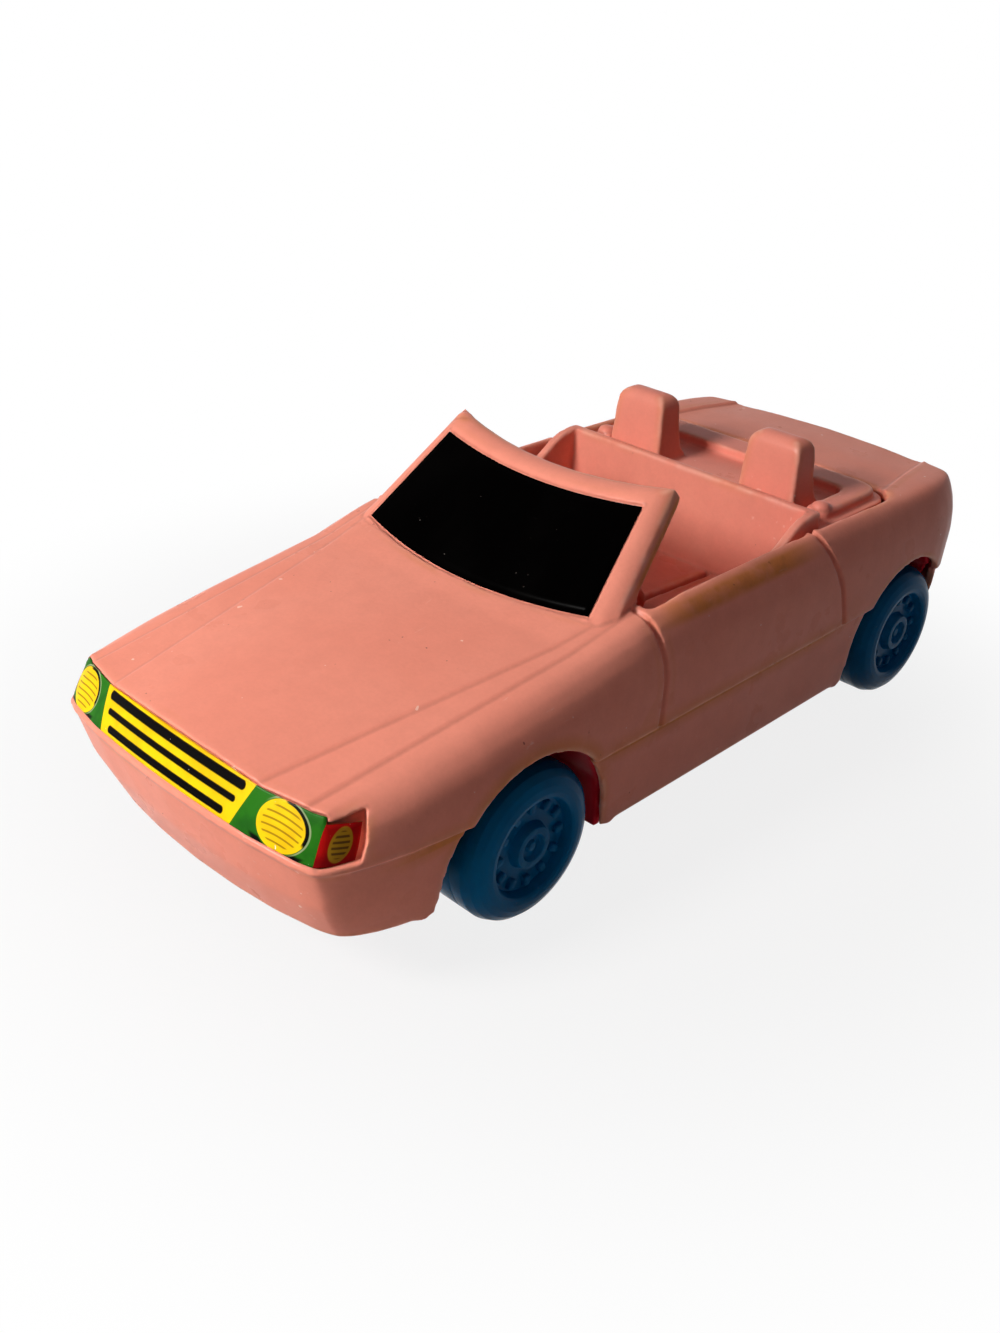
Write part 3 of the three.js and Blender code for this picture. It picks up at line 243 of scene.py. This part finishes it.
def pink_plastic(name, fresh, deep, yellowing, stains=None):
    """Old salmon-pink plastic: uneven tone, ochre along edges, darker close to grooves and panel lines,
    specks and scuffs, and pale edges that are partly rubbed wear and partly a painted highlight.
    """
    pink = Finish(name, IOR=1.48, Specular_IOR_Level=0.03)
    edge = pink.reading("edge")
    groove = pink.reading("groove")
    line = pink.reading("line")
    tone = pink.blend(pink.noise(24 * MM, 3).rise(0.35, 0.7), fresh, deep)
    mottled = pink.noise(2.6 * MM, 4).rise(0.3, 0.75)
    tone = pink.blend(mottled * 0.18, tone, tuple(0.8 * part for part in deep))
    grain = pink.noise(0.45 * MM, 2).rise(0.35, 0.7)
    tone = pink.blend(grain * 0.1, tone, tuple(0.78 * part for part in deep))
    clear = groove.rise(0.5, 1.6)
    aged = edge.fall(0.1, 1.6) * pink.noise(15 * MM, 4).rise(0.38, 0.6) * clear * yellowing
    if stains:
        aged = aged.at_least(stains(pink) * pink.noise(5 * MM, 4).rise(0.1, 0.55))
    tone = pink.blend(aged * 0.9, tone, OCHRE)
    browned = aged.rise(0.6, 1.0) * pink.noise(1.6 * MM, 4).rise(0.42, 0.66)
    tone = pink.blend(browned * 0.16, tone, DARK_BROWN)
    # Darker within half a millimetre of inner corners and along the faint panel lines.
    darker_near_corners_and_lines = (groove.fall(0.0, 0.5) * 0.3).at_least(line.fall(0.0, 0.45) * 0.2)
    tone = pink.blend(darker_near_corners_and_lines, tone, DARK_BROWN)
    specks = pink.noise(0.8 * MM, 1).rise(0.77, 0.8) * pink.noise(9 * MM).rise(0.52, 0.64)
    tone = pink.blend(specks * 0.7, tone, DARK_BROWN)
    nicks = pink.noise(0.9 * MM, 0).rise(0.875, 0.885)
    tone = pink.blend(nicks * 0.8, tone, PALE_PINK)
    scuffs = pink.noise(0.9 * MM, 3, (1, 0.25, 1)).rise(0.66, 0.74) * pink.noise(11 * MM).rise(0.55, 0.7)
    # Pale on every convex edge: partly rubbed wear, partly a painted highlight standing in for gloss along
    # the edges.
    rubbed = edge.fall(0.1, 0.9) * clear * pink.noise(3.0 * MM, 3).rise(0.3, 0.62) * 0.7
    tone = pink.blend(scuffs.at_least(rubbed) * 0.4, tone, PALE_PINK)
    pink.colour(tone)
    pink.roughness(pink.noise(6 * MM, 4) * 0.2 + 0.2 + scuffs * 0.2)
    pink.bump(pink.noise(0.55 * MM, 3) + pink.noise(3 * MM, 2) * 2 + scuffs * 0.8, 0.018 * MM)
    return pink.material


def base_plastic():
    """Dark red base, dusty in patches and rubbed along its edges."""
    red = Finish("base_red_plastic", IOR=1.48, Specular_IOR_Level=0.06)
    edge = red.reading("edge")
    tone = red.blend(red.noise(14 * MM, 3).rise(0.35, 0.7), (0.85, 0.01, 0.03), (0.68, 0.008, 0.026))
    dust = red.noise(3 * MM, 4).rise(0.52, 0.75) * red.noise(17 * MM).rise(0.42, 0.7)
    tone = red.blend(dust * 0.2, tone, (0.42, 0.2, 0.16))
    rubbed = edge.fall(0.0, 0.6) * red.noise(1.5 * MM, 3).rise(0.45, 0.65)
    tone = red.blend(rubbed * 0.3, tone, (0.66, 0.1, 0.09))
    red.colour(tone)
    red.roughness(red.noise(5 * MM, 3) * 0.25 + 0.32)
    red.bump(red.noise(0.5 * MM, 3), 0.02 * MM)
    return red.material


def wheel_plastic():
    """Glossy blue wheels, rubbed along their edges and dusty in places."""
    blue = Finish("wheel_blue_plastic", IOR=1.5, Specular_IOR_Level=0.025)
    edge = blue.reading("edge")
    tone = blue.blend(blue.noise(7 * MM, 3).rise(0.35, 0.7), (0.0005, 0.13, 0.3), (0.0005, 0.105, 0.26))
    rubbed = edge.fall(0.0, 0.45) * blue.noise(1.2 * MM, 3).rise(0.48, 0.68)
    tone = blue.blend(rubbed * 0.3, tone, (0.03, 0.2, 0.36))
    dust = blue.noise(0.7 * MM, 2).rise(0.68, 0.78) * blue.noise(5 * MM).rise(0.45, 0.7)
    tone = blue.blend(dust * 0.25, tone, (0.2, 0.28, 0.34))
    blue.colour(tone)
    blue.roughness(blue.noise(2.5 * MM, 4) * 0.14 + 0.16)
    blue.bump(blue.noise(0.6 * MM, 3), 0.012 * MM)
    return blue.material


def screen_sheet():
    """Black sheet with a faint haze and a few specks of dust."""
    black = Finish("screen_black_sheet", IOR=1.5, Specular_IOR_Level=0.001)
    haze = black.noise(9 * MM, 4, (1, 0.6, 0.6)).rise(0.42, 0.8)
    tone = black.blend(haze * 0.5, (0.0005, 0.0004, 0.0004), (0.0016, 0.0014, 0.0013))
    dust = black.noise(0.5 * MM, 1).rise(0.76, 0.8) * black.noise(6 * MM).rise(0.5, 0.62)
    tone = black.blend(dust * 0.5, tone, (0.3, 0.27, 0.24))
    black.colour(tone)
    black.roughness(haze * 0.25 + 0.25)
    black.bump(black.noise(5 * MM, 2), 0.02 * MM)
    return black.material


# Nose print, in millimetres: heights are measured with the sheet's arch taken out
PRINT_ASIDE = -0.6
PRINT_HALF = 21.3
PRINT_LOW = 20.5
PRINT_TALL = 4.4
PRINT_MIDDLE = 22.45
ARCH_LOW = 1.04
ARCH_MORE = 0.45
INK_SOFT = 0.06
GRILLE_HALF = 12.6
GRILLE_SPREAD = 0.36
GRILLE_BARS = ((20.93, 0.31, 10.5), (22.38, 0.25, 11.5), (23.8, 0.38, 12.15))
LAMP_X = 17.8
LAMP_WIDE = 3.05
LAMP_TALL = 2.2
RING_AT = 1.07
LENS_PITCH = 0.6
LENS_SAG = 0.16
YELLOW = (0.93, 0.61, 0.006)
YELLOW_DEEP = (0.85, 0.5, 0.006)
GREEN = (0.02, 0.16, 0.008)
GREEN_DEEP = (0.012, 0.1, 0.008)
INK = (0.0012, 0.0008, 0.0008)
LENS_BROWN = (0.26, 0.11, 0.004)
RING_PALE = (0.36, 0.42, 0.22)


def nose_print():
    """Yellow grille with three black bars between two green ends, each with a round yellow lamp."""
    sheet = Finish("nose_print_sheet", IOR=1.5, Specular_IOR_Level=0.02)
    x, _, z = sheet.millimetres()
    away = x / PRINT_HALF
    level = sheet.sum("SUBTRACT", 1, away * away)
    share = (z - PRINT_LOW) / PRINT_TALL
    height = z - (share * ARCH_MORE + ARCH_LOW) * level
    x = x - PRINT_ASIDE
    aside = x.size()
    above = height - PRINT_MIDDLE
    spread = above * GRILLE_SPREAD + GRILLE_HALF
    cloud = sheet.noise(3 * MM, 3).rise(0.35, 0.7)
    yellow = sheet.blend(cloud, YELLOW, YELLOW_DEEP)
    tone = sheet.blend(cloud, GREEN, GREEN_DEEP)
    across = (x - x.sign() * LAMP_X) / LAMP_WIDE
    up = above / LAMP_TALL
    out = across.distance(up)
    dark_foot = above.fall(-1.9, -1.55) * out.rise(1.04, 1.1) * out.fall(1.3, 1.45)
    tone = sheet.blend(dark_foot, tone, INK)
    tone = sheet.blend((aside - spread).fall(0, INK_SOFT), tone, yellow)
    for bar, half, reach in GRILLE_BARS:
        past = (aside - (reach - half)).at_least(0)
        tone = sheet.blend(past.distance(height - bar).fall(half, half + 2 * INK_SOFT), tone, INK)
    soft = INK_SOFT / LAMP_TALL
    facing = (across * 0.8 + up * 0.7).rise(-0.4, 0.3)
    tone = sheet.blend((out - RING_AT).size().fall(0.015, 0.015 + soft) * facing * 0.8, tone, RING_PALE)
    tone = sheet.blend(out.fall(1, 1 + soft), tone, yellow)
    shade = out.rise(0.9, 0.93) * out.fall(1.02, 1.05) * (across * 0.8 + up * 0.7).rise(0.45, 0.62)
    tone = sheet.blend(shade, tone, INK)
    rung = (above + across * across * LENS_SAG * 2.0) / LENS_PITCH
    lines = (rung.part() - 0.5).size().fall(0.09, 0.19) * out.fall(0.78, 0.86)
    tone = sheet.blend(lines * 0.8, tone, LENS_BROWN)
    brim = height.rise(24.35, 24.6) * (aside - spread).fall(0, INK_SOFT)
    tone = sheet.blend(brim * 0.75, tone, (0.5, 0.2, 0.006))
    chips = sheet.noise(0.7 * MM, 2).rise(0.73, 0.76) * sheet.noise(5 * MM).rise(0.5, 0.58)
    tone = sheet.blend(chips, tone, (0.8, 0.78, 0.7))
    sheet.colour(tone)
    sheet.roughness(sheet.noise(4 * MM, 3) * 0.2 + 0.22)
    sheet.bump(sheet.noise(2 * MM, 2) + chips, 0.015 * MM)
    return sheet.material


MARKER_Y = -58.0
MARKER_Z = 22.15
MARKER_LEAN = 0.45
MARKER_LONG = 1.25
MARKER_TALL = 1.62
STRIPE_PITCH = 0.56
STRIPE_TILT = 0.2


def marker_print():
    """Red side return of the nose sheet, with a striped gold oval."""
    sheet = Finish("marker_print_sheet", IOR=1.5, Specular_IOR_Level=0.02)
    _, y, z = sheet.millimetres()
    rear = y - MARKER_Y
    above = z - MARKER_Z
    out = ((rear - above * MARKER_LEAN) / MARKER_LONG).distance(above / MARKER_TALL)
    tone = sheet.blend(sheet.noise(2.5 * MM, 3).rise(0.4, 0.7), (0.36, 0.004, 0.004), (0.2, 0.002, 0.004))
    tone = sheet.blend(out.fall(0.96, 1.06), tone, (0.36, 0.19, 0.012))
    rung = (above + rear * STRIPE_TILT) / STRIPE_PITCH
    stripes = (rung.part() - 0.5).size().fall(0.14, 0.3) * out.fall(0.72, 0.84)
    tone = sheet.blend(stripes * 0.9, tone, (0.07, 0.03, 0.006))
    chips = sheet.noise(0.6 * MM, 2).rise(0.72, 0.76)
    tone = sheet.blend(chips * 0.6, tone, (0.7, 0.6, 0.5))
    sheet.colour(tone)
    sheet.roughness(sheet.noise(4 * MM, 3) * 0.2 + 0.24)
    sheet.bump(sheet.noise(2 * MM, 2) + chips, 0.015 * MM)
    return sheet.material


def bright_steel(name, stretch, tone):
    """Steel with fine drawing lines or grain and a little rust."""
    steel = Finish(name, Metallic=1.0)
    drawn = steel.noise(0.4 * MM, 3, stretch)
    rust = steel.noise(2.2 * MM, 4).rise(0.62, 0.75)
    shade = steel.blend(drawn.rise(0.3, 0.7), tone, tuple(0.72 * part for part in tone))
    steel.colour(steel.blend(rust * 0.4, shade, (0.16, 0.08, 0.04)))
    steel.roughness(drawn * 0.25 + 0.2 + rust * 0.25)
    steel.bump(drawn, 0.01 * MM)
    return steel.material


# Mesh making

def merged_copy(node):
    """A CAD node's mesh with its loose triangles joined."""
    bm = bmesh.new()
    bm.from_mesh(frame["nodes"][node].data)
    bmesh.ops.remove_doubles(bm, verts=bm.verts, dist=WELD)
    return bm


def along_edge(edge):
    """Points along an edge, about one step apart."""
    start, end = (vert.co for vert in edge.verts)
    steps = max(1, math.ceil((end - start).length / EDGE_STEP))
    return [start.lerp(end, step / steps) for step in range(steps + 1)]


def edge_points(bm, wanted):
    """A search tree of points along every edge whose signed angle and place are wanted."""
    points = []
    for edge in bm.edges:
        if edge.is_manifold and wanted(edge.calc_face_angle_signed(), edge):
            points.extend(along_edge(edge))
    tree = kdtree.KDTree(max(1, len(points)))
    for index, point in enumerate(points or [NOWHERE]):
        tree.insert(point, index)
    tree.balance()
    return tree


def is_panel_line(edge):
    """True for the faint lines on top of the body, inside its shoulders."""
    return all(abs(vert.co.x) < PANEL_HALF for vert in edge.verts)


def store(mesh, name, tree):
    """Keeps each point's distance to the tree, in millimetres, on the mesh."""
    layer = mesh.attributes.new(name, "FLOAT", "POINT")
    for vert in mesh.vertices:
        layer.data[vert.index].value = min(FARTHEST, tree.find(vert.co)[2] / MM)


def evaluated(piece):
    """The piece's mesh with its modifiers applied."""
    return bpy.data.meshes.new_from_object(piece.evaluated_get(bpy.context.evaluated_depsgraph_get()))


def show(name, mesh, body, node, slot, *materials):
    """Puts a finished mesh in the scene in place of its CAD node."""
    piece = bpy.data.objects.new(name, mesh)
    bpy.context.scene.collection.objects.link(piece)
    for material in materials:
        mesh.materials.append(material)
    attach(piece, body)
    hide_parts(node)
    return piece


def moulding(name, node, voxel, even, rounding, round_below, round_from, slot, material):
    """A moulded copy of a CAD solid: every edge gets a small round, wide faces run smoothly into each other,
    and the outer edges below one height and above another get a fuller round."""
    bm = merged_copy(node)
    kept = edge_points(
        bm, lambda turn, edge: abs(turn) > SHARP or (abs(turn) > FAINT and is_panel_line(edge)),
    )
    outer = edge_points(bm, lambda turn, edge: turn > SHARP)
    lines = edge_points(bm, lambda turn, edge: -SHARP < turn < -FAINT and is_panel_line(edge))
    inner = edge_points(bm, lambda turn, edge: turn < -SHARP)
    mesh = bpy.data.meshes.new(name)
    bm.to_mesh(mesh)
    bm.free()
    work = bpy.data.objects.new(name + "_work", mesh)
    bpy.context.scene.collection.objects.link(work)
    grid = work.modifiers.new("even_grid", "REMESH")
    grid.mode = "VOXEL"
    grid.voxel_size = voxel
    work.data = evaluated(work)
    work.modifiers.clear()
    open_face = work.vertex_groups.new(name="open_face")
    for vert in work.data.vertices:
        far = kept.find(vert.co)[2] / KEEP_NEAR_EDGE
        open_face.add([vert.index], max(0.0, min(1.0, far - 0.25)), "REPLACE")
    full_round = work.vertex_groups.new(name="full_round")
    for vert in work.data.vertices:
        beyond = max(vert.co.z - round_from, round_below - vert.co.z) / ROUND_RISE
        if beyond > 0:
            clear = (inner.find(vert.co)[2] - INNER_KEPT) / INNER_KEPT
            full_round.add([vert.index], max(0.0, min(1.0, clear, beyond)), "REPLACE")
    soften = work.modifiers.new("soften", "SMOOTH")
    soften.factor = SMOOTHING
    soften.iterations = SMALL_ROUND
    wide = work.modifiers.new("even_faces", "SMOOTH")
    wide.factor = SMOOTHING
    wide.iterations = even
    wide.vertex_group = open_face.name
    fuller = work.modifiers.new("fuller_round", "SMOOTH")
    fuller.factor = SMOOTHING
    fuller.iterations = rounding
    fuller.vertex_group = full_round.name
    triangles = 2 * len(work.data.polygons)
    if triangles > MOST_TRIANGLES:
        thin = work.modifiers.new("thin", "DECIMATE")
        thin.ratio = MOST_TRIANGLES / triangles
    mesh = evaluated(work)
    bpy.data.objects.remove(work)
    mesh.shade_smooth()
    store(mesh, "edge", outer)
    store(mesh, "groove", inner)
    store(mesh, "line", lines)
    return show(name, mesh, "car", node, slot, material)


def sheet_copy(name, node, slot, material, side_material=None):
    """A printed sheet: the CAD sheet with its triangles joined and its face shaded as one curve."""
    bm = merged_copy(node)
    for face in bm.faces:
        face.smooth = True
        face.material_index = 1 if side_material and abs(face.normal.x) > 0.7 else 0
    bmesh.ops.join_triangles(bm, faces=bm.faces, angle_face_threshold=FAINT, angle_shape_threshold=math.pi)
    crease = bm.edges.layers.float.new("crease_edge")
    for edge in bm.edges:
        edge[crease] = 1.0 if not edge.is_manifold or edge.calc_face_angle() > SHARP else 0.0
    mesh = bpy.data.meshes.new(name)
    bm.to_mesh(mesh)
    bm.free()
    piece = show(name, mesh, "car", node, slot, *filter(None, (material, side_material)))
    curve = piece.modifiers.new("even_curve", "SUBSURF")
    curve.levels = curve.render_levels = 2
    return piece


# Wheels, axles and screws: the wheel's half section is in millimetres from the back of the tread and the axle
WHEEL_STEPS = 96
AXLE_STEPS = 48
PAD_COUNT = 12
PAD_RING = 5.0 * MM
PAD_SIZE = (1.3 * MM, 1.05 * MM, 1.35 * MM)
PAD_ROUND = 0.3 * MM
DISH = 1.6
WHEEL_ROUND = 0.26 * MM
HUB_STANDOFF = 0.9 * MM
AXLE_END = 0.25 * MM
AXLE_ROUND = 0.08 * MM
SCREW_ROUND = 0.12 * MM
FLAT = math.radians(2)
WHEEL_CREASE = math.radians(50)
AXLE_CREASE = math.radians(40)
SCREW_CREASE = math.radians(32)


def wheel_profile(wide, radius, standoff):
    """Half section from the front of the hub, over the tread, to the back of the hub."""
    return [
        (wide - 0.7, 0.0), (wide - 0.75, 0.55), (wide - 1.1, 0.8), (wide - 1.1, 1.5),
        (wide - 0.45, 1.75), (wide - 0.45, 2.6), (wide - DISH, 3.0), (wide - DISH, 6.0),
        (wide - 0.35, 6.3), (wide - 0.1, 6.55), (wide - 0.02, 7.1), (wide - 0.14, 7.9), (wide - 0.5, 8.8),
        (wide - 1.2, 9.55), (wide - 2.3, radius), (wide * 0.5 + 0.1, radius), (wide * 0.5, radius - 0.08),
        (wide * 0.5 - 0.1, radius), (0.7, radius), (0.0, radius - 0.7), (0.0, radius - 1.9),
        (wide - 4.0, radius - 1.9), (wide - 4.0, 3.0), (-standoff, 3.0), (-standoff, 0.0),
    ]


def spun(profile, steps, rounding):
    """A closed body of revolution about the X axis from a half section that starts and ends on it."""
    bm = bmesh.new()
    verts = [bm.verts.new((x, 0, r)) for x, r in profile]
    for first, second in zip(verts, verts[1:]):
        bm.edges.new((first, second))
    bmesh.ops.bevel(
        bm, geom=verts[1:-1], offset=rounding, segments=3, profile=0.5, affect="VERTICES",
        clamp_overlap=True, material=-1,
    )
    bmesh.ops.spin(
        bm, geom=bm.verts[:] + bm.edges[:], cent=(0, 0, 0), axis=(1, 0, 0), angle=2 * math.pi,
        steps=steps, use_merge=True, use_duplicate=False,
    )
    bmesh.ops.remove_doubles(bm, verts=bm.verts, dist=WELD)
    bmesh.ops.recalc_face_normals(bm, faces=bm.faces)
    return bm


def wheel(node, body, material):
    """A one-piece wheel in the box of its CAD node: hub, dish with a ring of pads, and tread."""
    low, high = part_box(node)
    side = 1 if low.x > 0 else -1
    radius = (high.z - low.z) / 2
    back = abs(low.x if side > 0 else high.x)
    face = abs(high.x if side > 0 else low.x)
    wide = face - back - HUB_STANDOFF
    profile = wheel_profile(wide / MM, radius / MM, HUB_STANDOFF / MM)
    bm = spun([(x * MM, r * MM) for x, r in profile], WHEEL_STEPS, WHEEL_ROUND)
    for index in range(PAD_COUNT):
        turn = Matrix.Rotation(2 * math.pi * index / PAD_COUNT, 4, "X")
        place = turn @ Matrix.Translation((wide - DISH * MM, 0, PAD_RING)) @ Matrix.Diagonal((*PAD_SIZE, 1))
        pad = bmesh.ops.create_cube(bm, size=1, matrix=place)["verts"]
        edges = {edge for vert in pad for edge in vert.link_edges}
        bmesh.ops.bevel(
            bm, geom=list(edges), offset=PAD_ROUND, segments=3, profile=0.5, affect="EDGES",
            clamp_overlap=True, material=-1,
        )
    if side < 0:
        bmesh.ops.rotate(bm, verts=bm.verts, matrix=Matrix.Rotation(math.pi, 3, "Z"))
    centre = Vector((side * (back + HUB_STANDOFF), (low.y + high.y) / 2, (low.z + high.z) / 2))
    bmesh.ops.translate(bm, verts=bm.verts, vec=centre)
    outer = edge_points(bm, lambda turn, edge: turn > FAINT)
    mesh = bpy.data.meshes.new(node + "_moulding")
    bm.to_mesh(mesh)
    bm.free()
    mesh.shade_smooth()
    mesh.set_sharp_from_angle(angle=WHEEL_CREASE)
    store(mesh, "edge", outer)
    show(node + "_moulding", mesh, body, node, "wheel_blue", material)


def axle(node, body, material):
    """A round pin with chamfered ends in the box of its CAD node."""
    low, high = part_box(node)
    radius = (high.z - low.z) / 2
    profile = [(low.x, 0), (low.x, radius - AXLE_END), (low.x + AXLE_END, radius)]
    profile += [(high.x - AXLE_END, radius), (high.x, radius - AXLE_END), (high.x, 0)]
    bm = spun(profile, AXLE_STEPS, AXLE_ROUND)
    bmesh.ops.translate(bm, verts=bm.verts, vec=(0, (low.y + high.y) / 2, (low.z + high.z) / 2))
    mesh = bpy.data.meshes.new(node + "_pin")
    bm.to_mesh(mesh)
    bm.free()
    mesh.shade_smooth()
    mesh.set_sharp_from_angle(angle=AXLE_CREASE)
    show(node + "_pin", mesh, body, node, "axle_steel", material)


def screw(node, material):
    """The screw with its head's rim and cross slot broken by a fine round."""
    bm = merged_copy(node)
    bmesh.ops.dissolve_limit(bm, angle_limit=FLAT, verts=bm.verts, edges=bm.edges)
    sharp = [edge for edge in bm.edges if edge.is_manifold and edge.calc_face_angle() > SHARP]
    bmesh.ops.bevel(
        bm, geom=sharp, offset=SCREW_ROUND, segments=2, profile=0.5, affect="EDGES",
        clamp_overlap=True, material=-1,
    )
    mesh = bpy.data.meshes.new(node + "_steel")
    bm.to_mesh(mesh)
    bm.free()
    mesh.shade_smooth()
    mesh.set_sharp_from_angle(angle=SCREW_CREASE)
    show(node + "_steel", mesh, "car", node, "screw_steel", material)


# The toy

body_finish = pink_plastic("body_pink_plastic", (0.87, 0.31, 0.22), (0.84, 0.285, 0.2), 0.5, old_stains)
tub_finish = pink_plastic("tub_pink_plastic", (0.87, 0.305, 0.22), (0.82, 0.27, 0.2), 0.35)
moulding(
    "body_moulding", "body_shell", BODY_VOXEL, even=60, rounding=80, round_below=10 * MM, round_from=31 * MM,
    slot="body_pink", material=body_finish,
)
moulding(
    "tub_moulding", "interior_tub", TUB_VOXEL, even=20, rounding=14, round_below=0, round_from=20 * MM,
    slot="interior_pink", material=tub_finish,
)
moulding(
    "base_moulding", "chassis_base", BASE_VOXEL, even=10, rounding=0, round_below=0, round_from=1.0,
    slot="base_red", material=base_plastic(),
)
sheet_copy("screen_sheet", "windscreen_label", "screen_black", screen_sheet())
sheet_copy("nose_sheet", "nose_label", "nose_print", nose_print(), marker_print())
wheel_finish = wheel_plastic()
axle_finish = bright_steel("axle_drawn_steel", (0.08, 1, 1), (0.55, 0.56, 0.58))
screw_finish = bright_steel("screw_plated_steel", (1, 1, 1), (0.5, 0.5, 0.52))
for end in ("front", "rear"):
    axle("axle_" + end, end + "_wheelset", axle_finish)
    for side in ("left", "right"):
        wheel(f"wheel_{end}_{side}", end + "_wheelset", wheel_finish)
    screw("screw_" + end, screw_finish)


# Stage, light and camera
FLOOR_RADIUS = 4
FLOOR_WHITE = 0.84
WHITE = (1, 1, 1, 1)
WORLD_TINT = (1.0, 0.8, 1.0, 1)
WORLD_LIGHT = 0.064
KEY_PLACE = (-0.06, -0.27, 0.212)
KEY_AIM = (0, -0.01, 0.02)
SOFT_WHITE = (1.0, 0.98, 0.97)
NEAREST_SEEN = 0.01


def seen_directly(tree):
    """1 for what is seen straight, in a gloss or through a clear thing, and 0 for light on the toy."""
    rays = tree.nodes.new("ShaderNodeLightPath").outputs
    total = rays["Is Camera Ray"]
    for name in ("Is Glossy Ray", "Is Transmission Ray"):
        both = tree.nodes.new("ShaderNodeMath")
        both.operation = "MAXIMUM"
        tree.links.new(total, both.inputs[0])
        tree.links.new(rays[name], both.inputs[1])
        total = both.outputs[0]
    return total


def floor():
    """A pale floor that the camera sees almost white, with the toy's shadow still on it."""
    bm = bmesh.new()
    bmesh.ops.create_circle(bm, cap_ends=True, segments=96, radius=FLOOR_RADIUS)
    mesh = bpy.data.meshes.new("studio_floor")
    bm.to_mesh(mesh)
    bm.free()
    piece = bpy.data.objects.new("studio_floor", mesh)
    bpy.context.scene.collection.objects.link(piece)
    pale = Finish("studio_floor_paint", Roughness=0.9, Specular_IOR_Level=0.0)
    pale.colour(pale.blend(pale.noise(0.3, 2), (0.52, 0.52, 0.52), (0.5, 0.5, 0.5)))
    nodes = pale.tree.nodes
    glow = nodes.new("ShaderNodeEmission")
    mix = nodes.new("ShaderNodeMixShader")
    x, y, _ = pale.millimetres()
    whiter = x.distance(y).rise(45, 110) * (1 - FLOOR_WHITE) + FLOOR_WHITE
    pale.feed(mix.inputs[0], whiter * seen_directly(pale.tree))
    pale.feed(mix.inputs[1], pale.shader.outputs[0])
    pale.feed(mix.inputs[2], glow.outputs[0])
    pale.feed(nodes["Material Output"].inputs["Surface"], mix.outputs[0])
    mesh.materials.append(pale.material)


def world():
    """Even soft light on the toy, and plain white where the camera looks past the floor."""
    sky = bpy.data.worlds.new("studio")
    bpy.context.scene.world = sky
    sky.use_nodes = True
    nodes, links = sky.node_tree.nodes, sky.node_tree.links
    light = nodes["Background"]
    light.inputs["Color"].default_value = WORLD_TINT
    light.inputs["Strength"].default_value = WORLD_LIGHT
    white = nodes.new("ShaderNodeBackground")
    white.inputs["Color"].default_value = WHITE
    mix = nodes.new("ShaderNodeMixShader")
    links.new(seen_directly(sky.node_tree), mix.inputs[0])
    links.new(light.outputs[0], mix.inputs[1])
    links.new(white.outputs[0], mix.inputs[2])
    links.new(mix.outputs[0], nodes["World Output"].inputs["Surface"])


def lamp(name, place, aim, size, watts, colour):
    """A square soft lamp at a place, turned towards another."""
    data = bpy.data.lights.new(name, "AREA")
    data.size = size
    data.energy = watts
    data.color = colour
    piece = bpy.data.objects.new(name, data)
    piece.location = place
    piece.rotation_mode = "QUATERNION"
    piece.rotation_quaternion = (Vector(aim) - Vector(place)).to_track_quat("-Z", "Y")
    bpy.context.scene.collection.objects.link(piece)
    return piece


def photo_camera():
    """The camera that took the photo, as fitted to the toy's edges."""
    turn, tilt, roll = (math.radians(angle) for angle in (CAMERA_TURN, CAMERA_TILT, CAMERA_ROLL))
    back = Vector((math.sin(turn) * math.cos(tilt), -math.cos(turn) * math.cos(tilt), math.sin(tilt)))
    level = Vector((math.cos(turn), math.sin(turn), 0))
    upright = back.cross(level)
    right = level * math.cos(roll) + upright * math.sin(roll)
    up = upright * math.cos(roll) - level * math.sin(roll)
    data = bpy.data.cameras.new("photo_camera")
    data.sensor_width = SENSOR
    data.lens = SENSOR * FOCAL_PIXELS / PHOTO_HEIGHT
    data.clip_start = NEAREST_SEEN
    piece = bpy.data.objects.new("photo_camera", data)
    bpy.context.scene.collection.objects.link(piece)
    turned = Matrix((right, up, back)).transposed().to_4x4()
    place = CAMERA_AIM + back * CAMERA_AWAY + right * CAMERA_RIGHT + up * CAMERA_UP
    piece.matrix_world = Matrix.Translation(place) @ turned
    bpy.context.scene.camera = piece


floor()
world()
lamp("key_softbox", KEY_PLACE, KEY_AIM, size=0.085, watts=1.12, colour=(1.0, 0.97, 0.94))
lamp("top_softbox", (0.05, 0.04, 0.45), (0, 0, 0.02), size=0.3, watts=0.1, colour=SOFT_WHITE)
rear = lamp("rear_softbox", (-0.12, 0.38, 0.07), (0, 0.03, 0.02), size=0.2, watts=0.28, colour=SOFT_WHITE)
rear.visible_glossy = False
glint = lamp("glint", KEY_PLACE, KEY_AIM, size=0.05, watts=6.0, colour=(1.0, 0.98, 0.96))
glint.visible_diffuse = False
photo_camera()
bpy.context.scene.view_settings.view_transform = "Standard"
